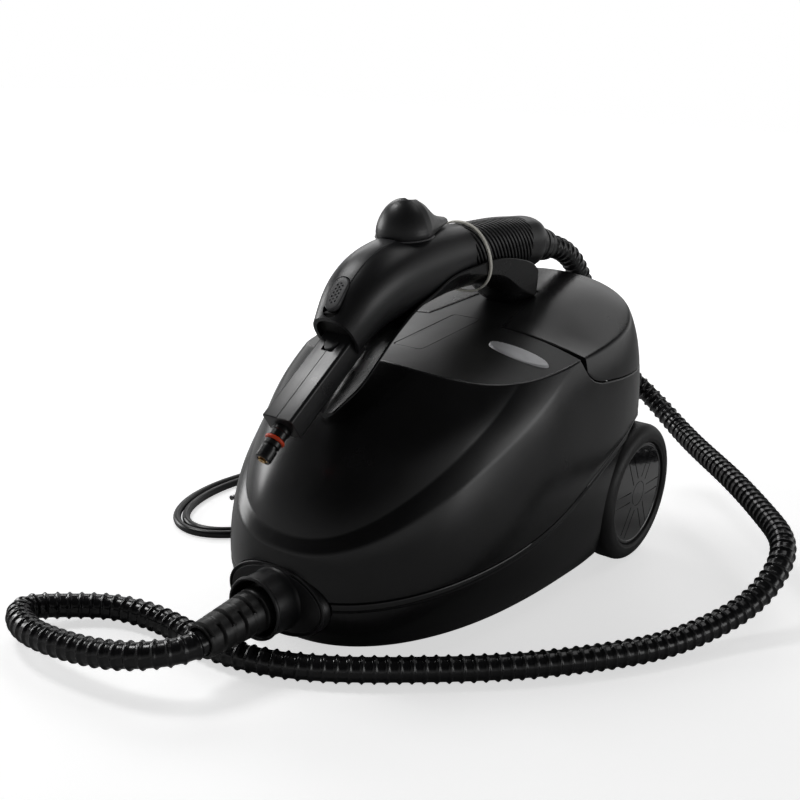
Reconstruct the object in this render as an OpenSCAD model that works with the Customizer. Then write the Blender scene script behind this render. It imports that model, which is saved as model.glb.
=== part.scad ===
// Canister steam cleaner with a hose-fed steam gun resting on its carry handle.
// Millimetres. +Z up, front (hose outlet) towards -Y, the machine's left side
// towards +X. The origin is on the floor, at the centre of the footprint.

/* [Body] */
// Wall thickness of the moulded shells
wall = 3; // [2.2:0.1:4]
// Ground clearance under the base
clearance = 9; // [8:0.5:11]
// Gap left at every parting line between two shells
seam_gap = 0.8; // [0.5:0.1:1.2]
// How far the bonnet lies inside the shoulder that frames it
bonnet_inset = 4; // [2:0.5:6]

/* [Wheels] */
// Outer radius of the rear tyres
tyre_r = 62; // [58:1:64]
// Radius of the hub inside the tyre
hub_r = 47; // [44:0.5:50]
// Distance from the centre plane to the outer face of a tyre
track_half = 124.2; // [122:0.1:126]
// Position of the rear axle behind the origin
axle_y = 139.5; // [136:0.5:142]
// Radius of the rear axle
axle_r = 4; // [3.5:0.5:5]
// Radius of the front caster wheel
caster_r = 16; // [14:0.5:16]
// Distance the caster wheel trails its swivel
caster_trail = 12; // [10:1:13]

/* [Boiler] */
// Outer radius of the boiler
boiler_r = 58; // [50:1:60]
// Length of the boiler
boiler_len = 198; // [180:1:200]

/* [Hose and cord] */
// Outer radius of the steam hose
hose_r = 10.5; // [9:0.25:11]
// Radius of the power cord
cord_r = 3.6; // [3:0.1:4]

/* [Gun] */
// Radius of the accessory spigot at the tip of the gun
spigot_r = 6.2; // [5.5:0.1:6.5]
// Radius of the steam knob
knob_r = 21.5; // [20:0.5:23]
// Wall thickness of the gun's shells
gun_wall = 2.2; // [1.8:0.1:3]

/* [Hidden] */
$fn = 48;
fit = 0.06;            // radial running clearance of every bearing
eps = 0.01;

// ---- body surface -------------------------------------------------------
body_mid_y = 30;       // widest station of the plan outline
front_power = 2.4;     // fullness of the outline at the nose
rear_power = 3;        // fullness of the outline at the tail

// Half width, nose and tail of the plan outline against height
function half_width(z) = lookup(z, [[0, 107], [15, 112.5], [30, 118], [60, 122.5],
    [100, 124], [140, 122], [180, 117], [200, 112], [222, 104], [245, 92]]);
function nose(z) = lookup(z, [[0, -188], [15, -197], [30, -201], [60, -203],
    [100, -194], [140, -172], [176, -144], [204, -104], [245, -30]]);
function tail(z) = lookup(z, [[0, 170], [15, 180], [30, 190], [60, 199],
    [100, 204], [140, 206], [180, 205], [200, 202], [222, 192], [245, 174]]);

// Centre line of the roof, and how fast it falls away to the sides
function roof_line(y) = lookup(y, [[-110, 203], [-57, 205.5], [-13, 211],
    [25, 216], [80, 225], [130, 233], [170, 238], [210, 240]]);
function roof_fall(y) = lookup(y, [[25, 0.00118], [168, 0.0023]]);
function roof(x, y) = roof_line(y) - roof_fall(y) * x * x;

// Point of the body surface in direction a (degrees) at height z
function outline_r(a, z) =
    let (n = sin(a) < 0 ? front_power : rear_power,
         l = sin(a) < 0 ? body_mid_y - nose(z) : tail(z) - body_mid_y)
    pow(pow(abs(cos(a)) / half_width(z), n) + pow(abs(sin(a)) / l, n), -1 / n);
function skin_point(a, z, inset = 0) =
    let (r = outline_r(a, z) - inset) [r * cos(a), body_mid_y + r * sin(a), z];

// Height where the surface in direction a crosses a rule z = f(x, y)
function seam_rule(p) = lookup(p.y, [[-200, 49.5], [-105, 61.6], [-57, 69.4],
    [5, 87], [54, 108], [110, 126], [165, 136], [210, 140]]);
function outer_crease_rule(p) = 81 + 0.555 * (p.y + 203);
function inner_crease_rule(p) = 90 + 0.70 * (p.y + 199);
function roof_rule(p) = roof(p.x, p.y);
function cover_edge_rule(p) = lookup(p.y, [[22, 202.5], [30, 191], [49, 182.6],
    [89, 176.5], [130, 174]]);
function settle(a, rule, z, n) =
    n == 0 ? z : settle(a, rule, (z + rule(skin_point(a, z))) / 2, n - 1);

ring_n = 72;
angles = [for (i = [0 : ring_n - 1]) i * 360 / ring_n];
seam_z = [for (a = angles) settle(a, function (p) seam_rule(p), 80, 8)];
roof_z = [for (a = angles) settle(a, function (p) roof_rule(p), 205, 12)];
cover_z = [for (a = angles) settle(a, function (p) cover_edge_rule(p), 180, 8)];
behind = [for (i = [0 : ring_n - 1]) skin_point(angles[i], roof_z[i]).y > 22];
top_z = [for (i = [0 : ring_n - 1])
    behind[i] ? min(cover_z[i], roof_z[i]) - seam_gap : roof_z[i] + 1];
outer_z = [for (i = [0 : ring_n - 1]) min(top_z[i] - 6,
    settle(angles[i], function (p) outer_crease_rule(p), 110, 12))];
inner_z = [for (i = [0 : ring_n - 1]) min(top_z[i] - 2,
    settle(angles[i], function (p) inner_crease_rule(p), 120, 16))];

// ---- generic builders ---------------------------------------------------

// Closed sheet between an outer and an inner grid of points
module sheet(outer, inner, ring = false) {
    rows = len(outer);
    cols = len(outer[0]);
    n = rows * cols;
    last = ring ? cols - 1 : cols - 2;
    points = concat([for (r = outer) each r], [for (r = inner) each r]);
    cells = [for (r = [0 : rows - 2], c = [0 : last])
        [r * cols + c, r * cols + (c + 1) % cols,
         (r + 1) * cols + (c + 1) % cols, (r + 1) * cols + c]];
    skins = [for (q = cells) each [[q[0], q[3], q[2]], [q[0], q[2], q[1]],
        [q[0] + n, q[2] + n, q[3] + n], [q[0] + n, q[1] + n, q[2] + n]]];
    low = [for (c = [0 : last]) let (a = c, b = (c + 1) % cols)
        each [[a, b, b + n], [a, b + n, a + n]]];
    high = [for (c = [0 : last])
        let (d = (rows - 1) * cols + c, e = (rows - 1) * cols + (c + 1) % cols)
        each [[e, d, d + n], [e, d + n, e + n]]];
    sides = ring ? [] : [for (r = [0 : rows - 2])
        let (a = r * cols, d = a + cols, b = a + cols - 1, e = b + cols)
        each [[d, a, a + n], [d, a + n, d + n], [b, e, e + n], [b, e + n, b + n]]];
    polyhedron(points, concat(skins, low, high, sides));
}

// Solid stacked from closed rings, capped with a fan at each end
module stack(rings) {
    rows = len(rings);
    cols = len(rings[0]);
    n = rows * cols;
    first = centre_of(rings[0]);
    final = centre_of(rings[rows - 1]);
    points = concat([for (r = rings) each r], [first, final]);
    walls = [for (r = [0 : rows - 2], c = [0 : cols - 1])
        let (a = r * cols + c, b = r * cols + (c + 1) % cols,
             d = a + cols, e = b + cols)
        each [[a, d, e], [a, e, b]]];
    caps = [for (c = [0 : cols - 1]) let (b = (c + 1) % cols, t = (rows - 1) * cols)
        each [[c, b, n], [t + b, t + c, n + 1]]];
    polyhedron(points, concat(walls, caps));
}
function centre_of(ring) = [for (k = [0 : 2]) sum([for (p = ring) p[k]]) / len(ring)];
function sum(v, i = 0) = i < len(v) ? v[i] + sum(v, i + 1) : 0;

// Smooth curve through a list of points, and a round solid swept along it
function spline_point(p, i, t) =
    let (n = len(p) - 1, a = p[max(i - 1, 0)], b = p[i], c = p[min(i + 1, n)],
         d = p[min(i + 2, n)])
    0.5 * (2 * b + (c - a) * t + (2 * a - 5 * b + 4 * c - d) * t * t
        + (3 * b - a - 3 * c + d) * t * t * t);
function spline(p, steps) = concat([for (i = [0 : len(p) - 2], s = [0 : steps - 1])
    spline_point(p, i, s / steps)], [p[len(p) - 1]]);
function unit(v) = v / norm(v);
function next_side(side, t) = unit(side - (side * t) * t);
function side_list(t, side, i = 0) = i == len(t) ? []
    : let (s = next_side(side, t[i])) concat([s], side_list(t, s, i + 1));
module tube_along(path, r, start_side, facets = 12) {
    n = len(path) - 1;
    tangents = [for (i = [0 : n]) unit(path[min(i + 1, n)] - path[max(i - 1, 0)])];
    sides = side_list(tangents, start_side);
    stack([for (i = [0 : n]) let (u = sides[i], v = cross(tangents[i], u))
        [for (k = [0 : facets - 1]) let (a = k * 360 / facets)
            path[i] + r * (cos(a) * u + sin(a) * v)]]);
}

// Round bar along an axis through the origin
module bar_x(r, x0, x1) { translate([x0, 0, 0]) rotate([0, 90, 0]) cylinder(r = r, h = x1 - x0); }
module bar_y(r, y0, y1) { translate([0, y0, 0]) rotate([-90, 0, 0]) cylinder(r = r, h = y1 - y0); }
module bar_z(r, z0, z1) { translate([0, 0, z0]) cylinder(r = r, h = z1 - z0); }

// ---- base, shells and covers ---------------------------------------------
outlet_z = 43;
outlet_y = -200.5;
oval_a = 45.8;
oval_b = 26.7;
collar_r = 23.3;
wheel_well_r = tyre_r + 6;
well_x = 90;
caster_y = -125;
pocket_r = 34;
pocket_top = 40;
stem_r = 5;
screw_spots = [for (s = [-1, 1]) each [[s * 62, -120], [s * 92, -30], [s * 80, 62]]];

module oval(grow = 0) {
    polygon([for (i = [0 : 47]) let (a = i * 7.5)
        [(oval_a + grow) * cos(a), (oval_b + grow) * sin(a)]]);
}
module oval_plug(y0, y1, grow = 0) {
    translate([0, y1, outlet_z]) rotate([90, 0, 0]) linear_extrude(y1 - y0) oval(grow);
}
function base_ring(z, inset) = [for (i = [0 : ring_n - 1])
    skin_point(angles[i], min(z, seam_z[i]), inset)];
module base_outer() {
    stack([base_ring(clearance, 12), base_ring(clearance + 2.5, 5),
        base_ring(clearance + 8, 1), base_ring(clearance + 16, 0),
        for (t = [0.2 : 0.2 : 1])
            [for (i = [0 : ring_n - 1])
                skin_point(angles[i], (clearance + 16) * (1 - t) + seam_z[i] * t)]]);
}
module base_inner() {
    stack([base_ring(clearance + wall, 14), base_ring(clearance + 10, wall + 3),
        for (t = [0.2 : 0.2 : 1])
            [for (i = [0 : ring_n - 1])
                skin_point(angles[i], (clearance + 16) * (1 - t) + seam_z[i] * t, wall)],
        [for (i = [0 : ring_n - 1]) skin_point(angles[i], seam_z[i], wall) + [0, 0, 8]]]);
}
module base_shell() color("#1b1b1c") difference() {
    base_outer();
    difference() {
        base_inner();
        for (s = [-1, 1]) translate([0, axle_y, tyre_r])
            bar_x(wheel_well_r + wall, s > 0 ? well_x - wall : -140, s > 0 ? 140 : wall - well_x);
        for (s = [-1, 1]) translate([0, axle_y, tyre_r])
            bar_x(axle_r + 4, s > 0 ? well_x - 20 : -well_x, s > 0 ? well_x : 20 - well_x);
        translate([0, caster_y, 0]) bar_z(pocket_r + wall, 0, pocket_top + wall);
        translate([0, caster_y, 0]) bar_z(stem_r + 5, 0, pocket_top + 20);
        for (p = screw_spots) translate(p) bar_z(5, 0, 40);
    }
    for (s = [-1, 1]) translate([0, axle_y, tyre_r])
        bar_x(wheel_well_r, s > 0 ? well_x : -150, s > 0 ? 150 : -well_x);
    translate([0, axle_y, tyre_r]) bar_x(axle_r + fit, -130, 130);
    translate([0, caster_y, -1]) bar_z(pocket_r, 0, pocket_top + 1);
    translate([0, caster_y, 0]) bar_z(stem_r + fit, 0, 80);
    for (p = screw_spots) translate(p) {
        bar_z(1.6, 0, 32);
        bar_z(4, 0, clearance + 3);
    }
    oval_plug(-230, outlet_y + 8, seam_gap);
    translate([0, 0, outlet_z]) bar_y(collar_r + seam_gap, -215, -150);
    translate([-45, 205, 40]) bar_y(7, -40, 20);
}

function shell_row(t, inset) = [for (i = [0 : ring_n - 1])
    skin_point(angles[i], seam_z[i] + seam_gap + (outer_z[i] - seam_z[i] - seam_gap) * t, inset)];
function bonnet_row(t, inset) = [for (i = [0 : ring_n - 1])
    skin_point(angles[i], inner_z[i] + (top_z[i] - inner_z[i]) * t,
        inset + (behind[i] ? 0 : bonnet_inset))];
function upper_rows(inset) = [for (t = [0, 0.35, 0.7, 1]) shell_row(t, inset),
    for (t = [0, 0.33, 0.66, 1]) bonnet_row(t, inset)];
module upper_shell() color("#1c1c1d") difference() {
    sheet(upper_rows(0), upper_rows(wall), ring = true);
    oval_plug(-230, outlet_y + 8, seam_gap);
    translate([0, 0, outlet_z]) bar_y(collar_r + seam_gap, -215, -150);
    at_switch() translate([-14.5, -40, -10.5]) cube([29, 60, 21]);
}

// Deck between the bonnet's lip and the rear cover, round the handle's rear leg
v_tip = [35, 25.5];
v_end = [19, 112];
deck_max_x = 102;
function deck_front(x) = let (f = nose(205) + bonnet_inset + wall + 1.5,
        w = half_width(205) - bonnet_inset - wall - 0.2)
    body_mid_y - (body_mid_y - f) * pow(1 - pow(abs(x) / w, front_power), 1 / front_power);
function deck_rear(x) = let (a = abs(x)) a <= v_end.x ? v_end.y
    : a < v_tip.x ? v_end.y + (v_tip.y - v_end.y) * (a - v_end.x) / (v_tip.x - v_end.x)
    : v_tip.y - 3 * (a - v_tip.x) / (deck_max_x - v_tip.x);
deck_half_cols = [0, 10, v_end.x, 27, v_tip.x, 50, 65, 80, 91, 98, deck_max_x];
deck_cols = concat([for (i = [len(deck_half_cols) - 1 : -1 : 1]) -deck_half_cols[i]], deck_half_cols);
function deck_grid(low) = [for (t = [0 : 0.125 : 1]) [for (x = deck_cols)
    let (y = deck_front(x) * (1 - t) + (deck_rear(x) - seam_gap) * t) [x, y, roof(x, y) - low]]];
module deck_plate(drop, thick) sheet(deck_grid(drop), deck_grid(drop + thick));
flap_mid = [0, -12, 211.4];
flap_tilt = 7.4;
flap_size = [26, 84, 2.2];
flap_axis = [-11, 0, -2.6];
pin_r = 1.2;           // radius of the flap's hinge pin
lens_mid = [73, -8];
lens_a = 26.7;
lens_b = 9.8;
module in_flap() { translate(flap_mid) rotate([flap_tilt, 0, 0]) children(); }
module lens_oval(grow, z0, z1) {
    translate([lens_mid.x, lens_mid.y, z0]) linear_extrude(z1 - z0)
        polygon([for (i = [0 : 35]) [(lens_a + grow) * cos(i * 10), (lens_b + grow) * sin(i * 10)]]);
}
module both_sides() {
    children();
    mirror([1, 0, 0]) children();
}
module top_deck() color("#202021") {
    difference() {
        deck_plate(0.6, 2.4);
        in_flap() translate([-15.5, -43, -12]) cube([29.5, 86, 30]);
        both_sides() lens_oval(0.5, 150, 260);
    }
    flap_lugs();
}
module flap_lugs() in_flap() translate(flap_axis) difference() {
    for (s = [-1, 1]) translate([0, s * 39, 0]) {
        bar_y(2.3, -3, 3);
        translate([-5.6, -3, -2.3]) cube([5.6, 6, 2.2]);
    }
    bar_y(pin_r + eps, -60, 60);
}
module lens_piece() color("#c9ccd0") intersection() {
    lens_oval(0, 150, 260);
    deck_plate(0.4, 2.2);
}
module lens_left() lens_piece();
module lens_right() color("#c9ccd0") mirror([1, 0, 0]) lens_piece();
module indicator_lamps() color("#d06a30") both_sides()
    translate([lens_mid.x, lens_mid.y, 184]) bar_x(3.2, -9, 9);

// Rear cover: a top plate with a skirt, wrapped round the tail of the body
rear_ids = [for (i = [0 : ring_n / 2]) if (skin_point(angles[i], 195).y > 31) i];
function cover_inner(g) = let (h = min(g, 1 - g) * 2, s = g < 0.5 ? 1 : -1)
    [s * lookup(h, [[0, 104], [0.2, v_tip.x + 1], [0.7, v_end.x + 1], [1, 0]]),
     lookup(h, [[0, v_tip.y - 2], [0.2, v_tip.y + 0.2], [0.7, v_end.y + 1], [1, v_end.y + 1]])];
function cover_skirt(i, k, inset) = skin_point(angles[i], cover_z[i] * (1 - k) + roof_z[i] * k, inset);
function cover_top(i, k, inset, drop) = let (p = skin_point(angles[i], roof_z[i], inset),
        c = cover_inner((i - rear_ids[0]) / (len(rear_ids) - 1)),
        x = p.x * (1 - k) + c.x * k, y = p.y * (1 - k) + c.y * k)
    [x, y, roof(x, y) - drop];
function cover_rows(inset, drop) = concat(
    [for (k = [0, 0.5]) [for (i = rear_ids) cover_skirt(i, k * (1 - drop / 60), inset)]],
    [for (k = [0, 0.3, 0.65, 1]) [for (i = rear_ids) cover_top(i, k, inset, drop)]]);
module rear_cover() color("#1d1d1e") sheet(cover_rows(0, 0), cover_rows(wall, wall));

// Outlet flange with its collar, the hose's strain relief and the hose
module outlet_flange() color("#161617") difference() {
    union() {
        oval_plug(outlet_y, outlet_y + 7);
        oval_plug(outlet_y - 1.2, outlet_y, -3);
        translate([0, 0, outlet_z]) {
            bar_y(collar_r, outlet_y - 24, outlet_y + 24);
            translate([0, outlet_y - 24, 0]) rotate([90, 0, 0])
                rotate_extrude() translate([collar_r - 1.4, 0]) circle(r = 1.4);
        }
    }
    translate([0, 0, outlet_z]) {
        bar_y(collar_r - 2.6, outlet_y - 30, outlet_y + 18);
        bar_y(6, outlet_y - 30, outlet_y + 40);
    }
}
boot_root = [0, outlet_y - 8, outlet_z];
boot_dir = unit([-2, -60, -6]);
boot_len = 66;
module along(p, d) { translate(p) rotate([0, acos(d.z), atan2(d.y, d.x)]) children(); }
module ribbed_boot(r0, r1, length, ribs, bore) {
    rotate_extrude() polygon(concat([[bore, 0], [r0, 0]],
        [for (i = [0 : ribs - 1]) let (z = length * (i + 0.35) / ribs, p = length / ribs,
                r = r0 + (r1 - r0) * (i + 0.35) / ribs)
            each [[r, z], [r - 1.6, z + 0.05 * p], [r - 1.6, z + 0.3 * p], [r - 0.2, z + 0.35 * p]]],
        [[r1, length], [bore, length]]));
}
module hose_boot() color("#171718") along(boot_root, boot_dir)
    ribbed_boot(17.5, 13.5, boot_len, 7, hose_r + 0.3);

hose_start = boot_root + 10 * boot_dir;
gun_rear = [0, 129, 267.8];
hose_path = spline([hose_start, boot_root + 38 * boot_dir, boot_root + 67 * boot_dir,
    boot_root + 76 * boot_dir,
    [-20, -303, 32], [-50, -316, 27], [-92, -322.5, 23], [-140, -316, 19], [-163, -294, 15],
    [-150, -268, 12], [-124, -246, 11], [-92, -237, 10.5], [-52, -238, 10.5], [-10, -238, 10.5],
    [42, -219, 10.5], [96, -177, 10.5], [150, -124, 10.5], [190, -73, 10.5], [222, -20, 11],
    [244, 30, 17], [260.3, 75, 32], [262.3, 112, 52.4], [233.4, 162.6, 59.8], [172.3, 229.8, 65.1],
    [112.9, 286.5, 69.9], [73, 317.5, 80.1], [34.8, 324.8, 103.7], [12, 296, 132], [7, 256, 168],
    [6, 224, 215], [5, 206, 238], [3, 192, 250.5], [1, 172, 259.5], gun_rear + [0, 23, -4],
    gun_rear], 3);
module steam_hose() color("#0f0f10") tube_along(hose_path, hose_r, [0, 0, 1], 12);

// ---- carry handle ---------------------------------------------------------
// Saddle stations: y, z of the trough's floor, z of its rim, half width
saddle = [[-152, 173, 176, 4], [-146, 179.5, 188, 13], [-132, 192, 201, 19.5],
    [-112, 209, 221, 25], [-96, 220.5, 233, 26.5], [-80, 228.5, 243, 27.5],
    [-60, 235, 251, 28], [-38, 238.8, 259.5, 27.5], [-10, 243, 264, 27], [20, 246, 266.5, 26],
    [50, 248, 265.5, 25.5], [76, 248, 261, 25], [94, 245, 254.5, 24.5], [108, 239, 243, 24]];
saddle_under = 7;
saddle_power = 3;      // full enough for the gun's belly to rest in it
function saddle_grid(drop, wide) = [for (s = saddle)
    [for (k = [-6 : 6]) let (t = k / 6)
        [(s[3] + wide) * t, s[0],
         s[1] - drop * (1 - 0.75 * abs(t)) + (s[2] - s[1]) * pow(abs(t), saddle_power)]]];
bonnet_slope = 35;     // slope of the bonnet under the handle's front foot
module carry_handle() color("#19191a") {
    sheet(saddle_grid(0, -1), saddle_grid(saddle_under, 0.5));
    translate([0, -126.6, 190.9]) rotate([bonnet_slope, 0, 0]) translate([0, 4, 2])
        cube([24, 40, 10], center = true);
    hull() {
        translate([0, 95, 229.5]) cube([36, 22, 1], center = true);
        translate([0, 82, 241.5]) cube([42, 44, 1], center = true);
    }
}

// ---- steam gun --------------------------------------------------------------
// Gun stations: y and z of the centre, tilt of the section, half width, half height
gun = [[-141, 226, 36, 18.5, 18.5], [-134, 233.5, 38, 21, 20], [-122, 245, 36, 24, 23.5],
    [-105, 255, 26, 26, 27], [-80, 262, 14, 27, 28.5], [-48, 266, 6, 26, 27.5],
    [-15, 269, 4, 23.5, 25], [25, 271, 2, 21.5, 23], [68, 272, -1, 21, 22.5],
    [100, 271, -4, 21, 22], [113, 270, -6, 20.6, 21.6], [118, 269.6, -6.5, 19.4, 20.2]];
gun_power = 2.3;
head_split = 0.2;
function gun_point(s, a, shrink) =
    let (w = s[3] - shrink, h = s[4] - shrink, c = cos(a), n = sin(a),
         r = pow(pow(abs(c), gun_power) + pow(abs(n), gun_power), -1 / gun_power),
         up = h * r * n)
    [w * r * c, s[0] - up * sin(s[2]), s[1] + up * cos(s[2])];
function half_section(s, shrink, from, to) = [for (k = [0 : 12])
    let (a = from + (to - from) * k / 12, p = gun_point(s, a, shrink))
    [max(p.x, head_split), p.y, p.z]];
spine_half = 14;       // half angle of the strip along the head's ridge
module gun_half() {
    sheet([for (s = gun) half_section(s, 0, 90, -90)],
          [for (s = gun) half_section(s, gun_wall, 90, -90)]);
}
slider_at = [0, -141, 257];
slider_tilt = 50;
slider_size = [13, 27, 4.5];
knob_at = [0, -64, 290.2];
knob_tilt = 6;
stud_r = 5;
trigger_at = [0, -60, 243.5];
trigger_tilt = 5;
spout_at = [0, -134.5, 218.6];
spout_tilt = 36.4;
spout_size = [27, 78, 19];
module at_slider() { translate(slider_at) rotate([slider_tilt, 0, 0]) children(); }
module at_knob() { translate(knob_at) rotate([knob_tilt, 0, 0]) children(); }
module at_trigger() { translate(trigger_at) rotate([trigger_tilt, 0, 0]) children(); }
module at_spout() { translate(spout_at) rotate([spout_tilt, 0, 0]) children(); }
module pill(w, l, h) {
    linear_extrude(h) union() {
        square([w, l - w], center = true);
        for (s = [-1, 1]) translate([0, s * (l - w) / 2]) circle(d = w);
    }
}
module slider_slot() at_slider() translate([0, -2, -9])
    pill(slider_size.x + 1.4, slider_size.y + 5.4, 18);
module gun_cuts() {
    slider_slot();
    at_knob() bar_z(stud_r + fit, -20, 10);
    at_knob() bar_z(knob_r + 1, -0.3, 30);
    at_spout() cube(spout_size + [0.4, -38, 0.4], center = true);
    at_trigger() translate([-6.5, -5, -12]) cube([13, 58, 24]);
    at_trigger() bar_x(2 + eps, -40, 40);
    hull() {
        translate([0, -139, 236]) rotate([36, 0, 0]) cube([1, 20, 1], center = true);
        translate([0, -60, 285]) rotate([20, 0, 0]) cube([1, 14, 1], center = true);
    }
}
// Screw bosses: y, z and how far each reaches out from the split
gun_bosses = [[-108, 263, 21], [-68, 250, 23], [20, 262, 19], [92, 262, 18]];
seat_x = 8;            // depth of the screw heads from the split
module gun_shell(sunk) difference() {
    union() {
        gun_half();
        intersection() {
            at_knob() bar_z(10, -8, -0.4);
            translate([head_split, -100, 200]) cube([60, 80, 120]);
        }
        for (b = gun_bosses) translate([0, b[0], b[1]]) bar_x(3.6, head_split, b[2]);
    }
    gun_cuts();
    for (b = gun_bosses) translate([0, b[0], b[1]]) {
        bar_x(1.35, -1, sunk ? 40 : 6);
        if (sunk) bar_x(2.7, seat_x, 40);
    }
}
module gun_shell_left() color("#242426") gun_shell(false);
module gun_shell_right() color("#242426") mirror([1, 0, 0]) gun_shell(true);
function spine_strip(lift) = [for (i = [0 : 4]) [for (k = [-4 : 4])
    gun_point(gun[i], 90 - k * spine_half / 4, -lift)]];
module gun_spine() color("#3a3b3d") difference() {
    sheet(spine_strip(1.1), spine_strip(0.35));
    slider_slot();
    at_knob() bar_z(knob_r + 1, -8, 30);
}
module spout_housing() color("#2a2b2d") at_spout() difference() {
    translate([-spout_size.x / 2, -spout_size.y, -spout_size.z / 2]) cube(spout_size + [0, 8, 0]);
    translate([-5.5, -14, spout_size.z / 2 - 7]) cube([11, 9.5, 12]);
    in_spigot() bar_z(spigot_r + 0.02, spigot_start - 0.3, 60);
    translate([0, 0, 2.2]) bar_y(4.2, -2, 10);
    translate([0, 0, -1.5]) bar_y(2.2, -72, 1);
}
module lock_button() color("#161617") at_spout() difference() {
    translate([-5.2, -13.7, spout_size.z / 2 - 4.2]) cube([10.4, 8.9, 5.4]);
    translate([0, -13.9, spout_size.z / 2 + 4]) bar_x(3, -6, 6);
}
spigot_at = [0, -66, -1];
spigot_tilt = 5;
module in_spigot() { translate(spigot_at) rotate([spigot_tilt + 90, 0, 0]) children(); }
module at_spigot() { at_spout() in_spigot() children(); }
spigot_start = 5;
spigot_len = 39;
ring_at = 22.3;        // middle of the ring seal along the spigot
module nozzle_spigot() color("#1a1a1b") at_spigot() difference() {
    bar_z(spigot_r - 0.02, spigot_start, spigot_len);
    difference() {
        bar_z(8, ring_at - 1.8, ring_at + 1.8);
        bar_z(4.8, ring_at - 3, ring_at + 3);
    }
    bar_z(2.5, -10, spigot_len + 1);
    bar_z(4, spigot_len - 6, spigot_len + 1);
}
module o_ring() color("#d8452c") at_spigot() translate([0, 0, ring_at])
    rotate_extrude() translate([6.2, 0]) circle(r = 1.35);
module brass_jet() color("#b98a3c") at_spigot() difference() {
    union() {
        bar_z(4 - fit, spigot_len - 5.9, spigot_len - 0.5);
        bar_z(2.6, spigot_len - 1, spigot_len + 1);
    }
    bar_z(0.9, spigot_len - 8, spigot_len + 2);
}
module steam_slider() color("#2c2c2e") at_slider() {
    translate([0, 0, -3.2]) pill(slider_size.x, slider_size.y, slider_size.z);
    bar_z(3, -6, -3.2);
}
module steam_knob() color("#2a2a2c") at_knob() {
    difference() {
        union() {
            rotate_extrude() polygon(concat([[0, 0.4]], [for (a = [0 : 10 : 90])
                [knob_r * cos(a), 0.4 + 24 * sin(a)]]));
            translate([0, 0, 1.7]) linear_extrude(6) polygon([[-knob_r + 2, 8], [knob_r - 2, 8],
                [9, 40], [5, 52], [0, 55], [-5, 52], [-9, 40]]);
        }
        translate([-2.4, -11, 16]) cube([4.8, 34, 12]);
    }
    bar_z(stud_r, -8, 0.6);
}
module gun_trigger() color("#161617") at_trigger() difference() {
    union() {
        bar_x(4, -6, 6);
        translate([-6, 0, -3]) cube([12, 50, 6]);
        translate([-3, 34, 0]) cube([6, 12, 5]);
    }
    bar_x(2 + fit, -10, 10);
}
module trigger_pin() color("#a8abb0") at_trigger() bar_x(2, -16, 16);
module trigger_spring() color("#c0c3c7") at_trigger() translate([0, 22, 3.3]) difference() {
    bar_z(3.2, 0, 9);
    bar_z(2.2, -1, 10);
}
module gun_valve() color("#b9975a") {
    translate([0, -22, 267]) rotate([3, 0, 0]) difference() {
        cube([20, 30, 16], center = true);
        bar_y(3.5, -40, 40);
    }
}
module gun_steam_pipe() color("#b98a3c") {
    tube_along(spline([[0, -38.4, 266.1], [0, -70, 264.5], [0, -100, 250], [0, -122, 232],
        [0, -135, 220.5]], 3), 2.4, [1, 0, 0], 10);
    tube_along(spline([[0, -6.2, 267.9], [0, 20, 269], [0, 60, 270.5], [0, 100, 270],
        [0, 127, 268.2]], 3), 2.4, [1, 0, 0], 10);
}
module gun_hose_boot() color("#171718") translate([0, 115, 270.3]) rotate([-100, 0, 0])
    ribbed_boot(16.4, 13, 38, 4, hose_r + 0.4);
module screw(r_head, h_head, r, length) {
    bar_z(r_head, 0, h_head);
    bar_z(r, -length, eps);
}
module gun_screws() color("#9a9da1") for (b = gun_bosses)
    translate([-seat_x, b[0], b[1]]) rotate([0, -90, 0]) screw(2.6, 1.6, 1.3, 13);
band_at = [0, 18, 264];
module elastic_band() color("#f1efe6") translate(band_at) rotate([8, 0, 0]) {
    steps = 36;
    facets = 8;
    points = [for (k = [0 : steps - 1], j = [0 : facets - 1])
        let (a = k * 360 / steps, b = j * 360 / facets, c = cos(a), s = sin(a), r = 1.1 * cos(b))
        [(28.2 + r) * sign(c) * pow(abs(c), 0.8), 1.1 * sin(b), ((s > 0 ? 32.2 : 28) + r) * s]];
    polyhedron(points, [for (k = [0 : steps - 1], j = [0 : facets - 1])
        let (k2 = (k + 1) % steps, j2 = (j + 1) % facets, a = k * facets + j,
             b = k * facets + j2, d = k2 * facets + j, e = k2 * facets + j2)
        each [[a, e, d], [a, b, e]]]);
}

// ---- wheels --------------------------------------------------------------
module at_wheel() { translate([0, axle_y, tyre_r]) children(); }
tyre_w = 27;
hub_in = track_half - tyre_w + 1.5;
tyre_inner_round = 7;
tyre_outer_round = 9;
function arc(centre, r, from, to) = [for (k = [0 : 6]) let (a = from + (to - from) * k / 6)
    centre + r * [cos(a), sin(a)]];
module tyre() rotate([0, 90, 0]) rotate_extrude($fn = 96) translate([hub_r, track_half - tyre_w]) {
    depth = tyre_r - hub_r;
    polygon(concat([[0, 1.5], [4, 0]],
        arc([depth - tyre_inner_round, tyre_inner_round], tyre_inner_round, -90, 0),
        arc([depth - tyre_outer_round, tyre_w - tyre_outer_round], tyre_outer_round, 0, 90),
        [[1.2, tyre_w], [0, tyre_w - 1.5]]));
}
module tyre_left() color("#1f1f20") at_wheel() tyre();
module tyre_right() color("#1f1f20") at_wheel() mirror([1, 0, 0]) tyre();
module wheel_hub() difference() {
    union() {
        difference() {
            bar_x(hub_r, hub_in, track_half - 5);
            bar_x(hub_r - 3, hub_in + 14, track_half);
        }
        bar_x(11, hub_in, track_half - 12);
    }
    bar_x(axle_r + fit, 80, 140);
    bar_x(9, track_half - 14.5, 140);
    for (a = [0 : 60 : 300]) rotate([a, 0, 0]) translate([0, 28, 0]) bar_x(9, 80, hub_in + 10);
}
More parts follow.
